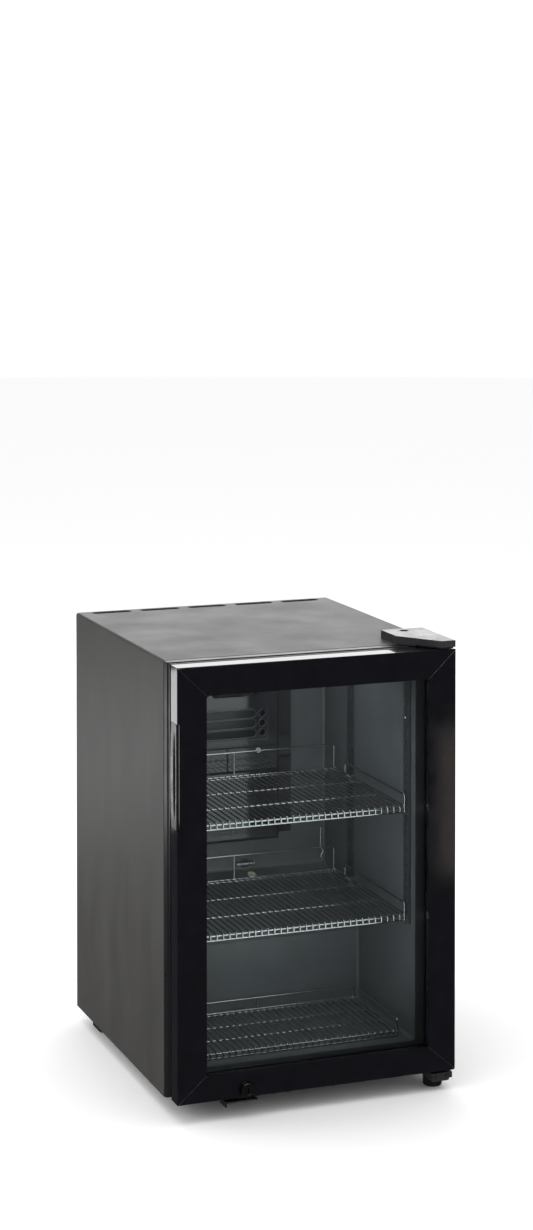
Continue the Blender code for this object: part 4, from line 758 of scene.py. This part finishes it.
def finBlock():
    # plate fins on a serpentine tube
    low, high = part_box("evaporator_coil")
    middle = (low + high) / 2
    size = (fins["wall"], high.y - low.y, high.z - low.z)
    width = high.x - low.x - 2 * fins["inset"]
    parts = []
    for k in range(fins["count"]):
        x = low.x + fins["inset"] + width * k / (fins["count"] - 1)
        parts.append(block((x, middle.y, middle.z), size))
    addPiece("evaporator_fins", joined(parts), "fin_aluminium", "cabinet", "evaporator_coil")
    ends = [low.x + fins["endInset"], high.x - fins["endInset"]]
    run = []
    for row in range(fins["rows"]):
        z = low.z + fins["rowInset"] + row * (size[2] - 2 * fins["rowInset"]) / (fins["rows"] - 1)
        run += [(x, middle.y, z) for x in ends]
        ends.reverse()
    tube = bentPath(run, fins["bend"])
    wirePiece("evaporator_tube", [tube], fins["tube"], "fin_aluminium", "cabinet", resolution=3)


finBlock()

# front and rear are where the rotor's hub ends, and pitch is the blades' angle in degrees
rotor = dict(front=0.1337, rear=0.1522, bore=0.0028, hub=0.012, hubShoulder=0.0105, hubNose=0.007,
             blades=5, bladeRoot=0.0115, bladeReach=0.0310, chord=0.016, swell=0.010, sweep=0.18, pitch=26,
             washout=0.35, wall=0.0010)


def fanBlade():
    bm = bmesh.new()
    bmesh.ops.create_grid(bm, x_segments=8, y_segments=6, size=0.5)
    for v in bm.verts:
        out = v.co.x + 0.5    # 0 at the hub, 1 at the tip
        across = v.co.y
        radius = rotor["bladeRoot"] + out * rotor["bladeReach"]
        chord = rotor["chord"] + rotor["swell"] * math.sin(math.pi * min(out * 1.15, 1.0))
        angle = across * chord / radius + rotor["sweep"] * out * out
        lift = across * chord * math.tan(math.radians(rotor["pitch"])) * (1 - rotor["washout"] * out)
        v.co = (radius * math.cos(angle), lift, radius * math.sin(angle))
    bmesh.ops.solidify(bm, geom=bm.faces[:], thickness=rotor["wall"])
    return bm


def fanRotor():
    # swept blades on a domed hub
    low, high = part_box("fan_blades")
    middle = (low + high) / 2
    front, rear = rotor["front"], rotor["rear"]
    profile = [(rotor["bore"], rear), (rotor["hub"], rear), (rotor["hub"], front + 0.003),
               (rotor["hubShoulder"], front + 0.0008), (rotor["hubNose"], front), (rotor["bore"], front),
               (rotor["bore"], rear)]
    parts = [lathe(profile, (middle.x, 0, middle.z), "y", 40)]
    centre = Matrix.Translation((middle.x, (front + rear) / 2, middle.z))
    for k in range(rotor["blades"]):
        bm = fanBlade()
        turn = Matrix.Rotation(2 * math.pi * k / rotor["blades"], 4, "Y")
        bmesh.ops.transform(bm, matrix=centre @ turn, verts=bm.verts[:])
        parts.append(bm)
    addPiece("fan_rotor", joined(parts), "fan_plastic", "fan", "fan_blades")


fanRotor()

# skirt depths run forwards from the knob's rear face, and nose depths back from its front one
knobTurned = dict(steps=48, bore=0.0033,
                  skirt=((0.0088, 0), (0.009, 0.0004), (0.009, 0.0020), (0.0080, 0.0026)),
                  nose=((0.0074, 0.0012), (0.0066, 0), (0, 0)),
                  pointer=(0.0010, 0.0010, 0.0045), pointerUp=0.0040, pointerSunk=0.0004, pointerEdge=0.0002)


def knob():
    low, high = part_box("thermostat_knob")
    middle = (low + high) / 2
    profile = [(knobTurned["bore"], high.y)]
    profile += [(radius, high.y - depth) for radius, depth in knobTurned["skirt"]]
    profile += [(radius, low.y + depth) for radius, depth in knobTurned["nose"]]
    bm = lathe(profile, (middle.x, 0, middle.z), "y", knobTurned["steps"])
    addPiece("thermostat_knob_turned", bm, "control_plastic", "thermostat_knob", "thermostat_knob")
    place = (middle.x, low.y + knobTurned["pointerSunk"], middle.z + knobTurned["pointerUp"])
    pointer = block(place, knobTurned["pointer"])
    roundEdges(pointer, knobTurned["pointerEdge"], 2)
    addPiece("thermostat_pointer", pointer, "diffuser_plastic", "thermostat_knob")


knob()
print("back and controls made")


# Camera, floor and light

studio = dict(eye=(-1.3547, -3.60385, 1.323), yaw=-0.3623, pitch=-0.0322, lens=74.44683, shift=-0.28,
              farthest=60, floorSize=14.0, paperCloud=900, ambient=1.0, mirrored=0.05)


def makeCamera():
    data = bpy.data.cameras.new("camera")
    data.lens = studio["lens"]
    data.shift_y = studio["shift"]
    data.clip_end = studio["farthest"]
    camera = bpy.data.objects.new("camera", data)
    camera.location = studio["eye"]
    camera.rotation_euler = (math.pi / 2 + studio["pitch"], 0, studio["yaw"])
    bpy.context.scene.collection.objects.link(camera)
    bpy.context.scene.camera = camera


def makeFloor():
    # matt white paper: it shows contact shadows but isn't seen in the gloss of the front
    material = emptyMaterial("studio_paper")
    place = addNode(material, "ShaderNodeTexCoord").outputs["Object"]
    clouds = addNode(material, "ShaderNodeTexNoise",
                     {"Scale": perMetre(studio["paperCloud"]), "Detail": 2.0}, {"Vector": place})
    tone = addNode(material, "ShaderNodeMix", {"A": linearColour("fefefe"), "B": linearColour("ffffff")},
                   {"Factor": clouds.outputs["Fac"]}, data_type="RGBA")
    shader = addNode(material, "ShaderNodeBsdfPrincipled", {"Roughness": 0.9, "Specular IOR Level": 0.1},
                     {"Base Color": tone.outputs["Result"]})
    addNode(material, "ShaderNodeOutputMaterial", None, {"Surface": shader.outputs["BSDF"]})
    bm = bmesh.new()
    bmesh.ops.create_circle(bm, cap_ends=True, segments=96, radius=studio["floorSize"])
    mesh = bpy.data.meshes.new("floor")
    bm.to_mesh(mesh)
    bm.free()
    mesh.materials.append(material)
    floor = bpy.data.objects.new("floor", mesh)
    bpy.context.scene.collection.objects.link(floor)
    floor.visible_glossy = False


# The two cabinet lamps fill the inside, which the room's light alone leaves near black behind the glass.
softboxes = {
    "overhead": dict(place=(-0.3, -0.6, 3.2), aim=(0, 0, 0.3), size=(3.0, 3.0), watts=30),
    "behind": dict(place=(1.3, 3.4, 1.70), aim=(0, 0, 0.6), size=(2.4, 2.0), watts=34),
    "left_side": dict(place=(-3.0, 1.2, 1.6), aim=(0, 0, 0.4), size=(1.6, 1.6), watts=26),
    "door_edge": dict(place=(-0.75, 1.30, 0.18), aim=(-0.75, 0.0, 0.18), size=(0.30, 0.32), watts=0.75),
    "low_right": dict(place=(0.71, -1.25, 0.16), aim=(0.71, 0.0, 0.16), size=(0.12, 0.28), watts=0.08,
                      colour=(1.0, 0.86, 0.74)),
    "cabinet_front": dict(place=(0.0, -0.200, 0.35), aim=(0.0, 0.2, 0.35), size=(0.30, 0.48), watts=1.35),
    "cabinet_top": dict(place=(0.0, -0.02, 0.608), aim=(0.0, 0.0, 0.0), size=(0.28, 0.20), watts=0.65),
}


def addSoftbox(name, place, aim, size, watts, colour=(1.0, 1.0, 1.0)):
    data = bpy.data.lights.new(name, "AREA")
    data.shape = "RECTANGLE"
    data.size, data.size_y = size
    data.energy = watts
    data.color = colour
    lamp = bpy.data.objects.new(name, data)
    lamp.location = place
    lamp.rotation_euler = (Vector(aim) - Vector(place)).to_track_quat("-Z", "Y").to_euler()
    bpy.context.scene.collection.objects.link(lamp)
    lamp.visible_camera = False


def makeLight():
    # an even white room for the matt surfaces, shown far weaker in glossy ones so that the door stays black
    world = bpy.data.worlds.new("studio")
    world.use_nodes = True
    nodes = world.node_tree.nodes
    path = nodes.new("ShaderNodeLightPath")
    strength = nodes.new("ShaderNodeMapRange")
    strength.inputs["To Min"].default_value = studio["ambient"]
    strength.inputs["To Max"].default_value = studio["mirrored"]
    world.node_tree.links.new(path.outputs["Is Glossy Ray"], strength.inputs["Value"])
    world.node_tree.links.new(strength.outputs["Result"], nodes["Background"].inputs["Strength"])
    nodes["Background"].inputs["Color"].default_value = (1.0, 1.0, 1.0, 1)
    bpy.context.scene.world = world
    bpy.context.scene.view_settings.view_transform = "Standard"
    for name, softbox in softboxes.items():
        addSoftbox(name, **softbox)


makeCamera()
makeFloor()
makeLight()
print("camera, floor and light set")
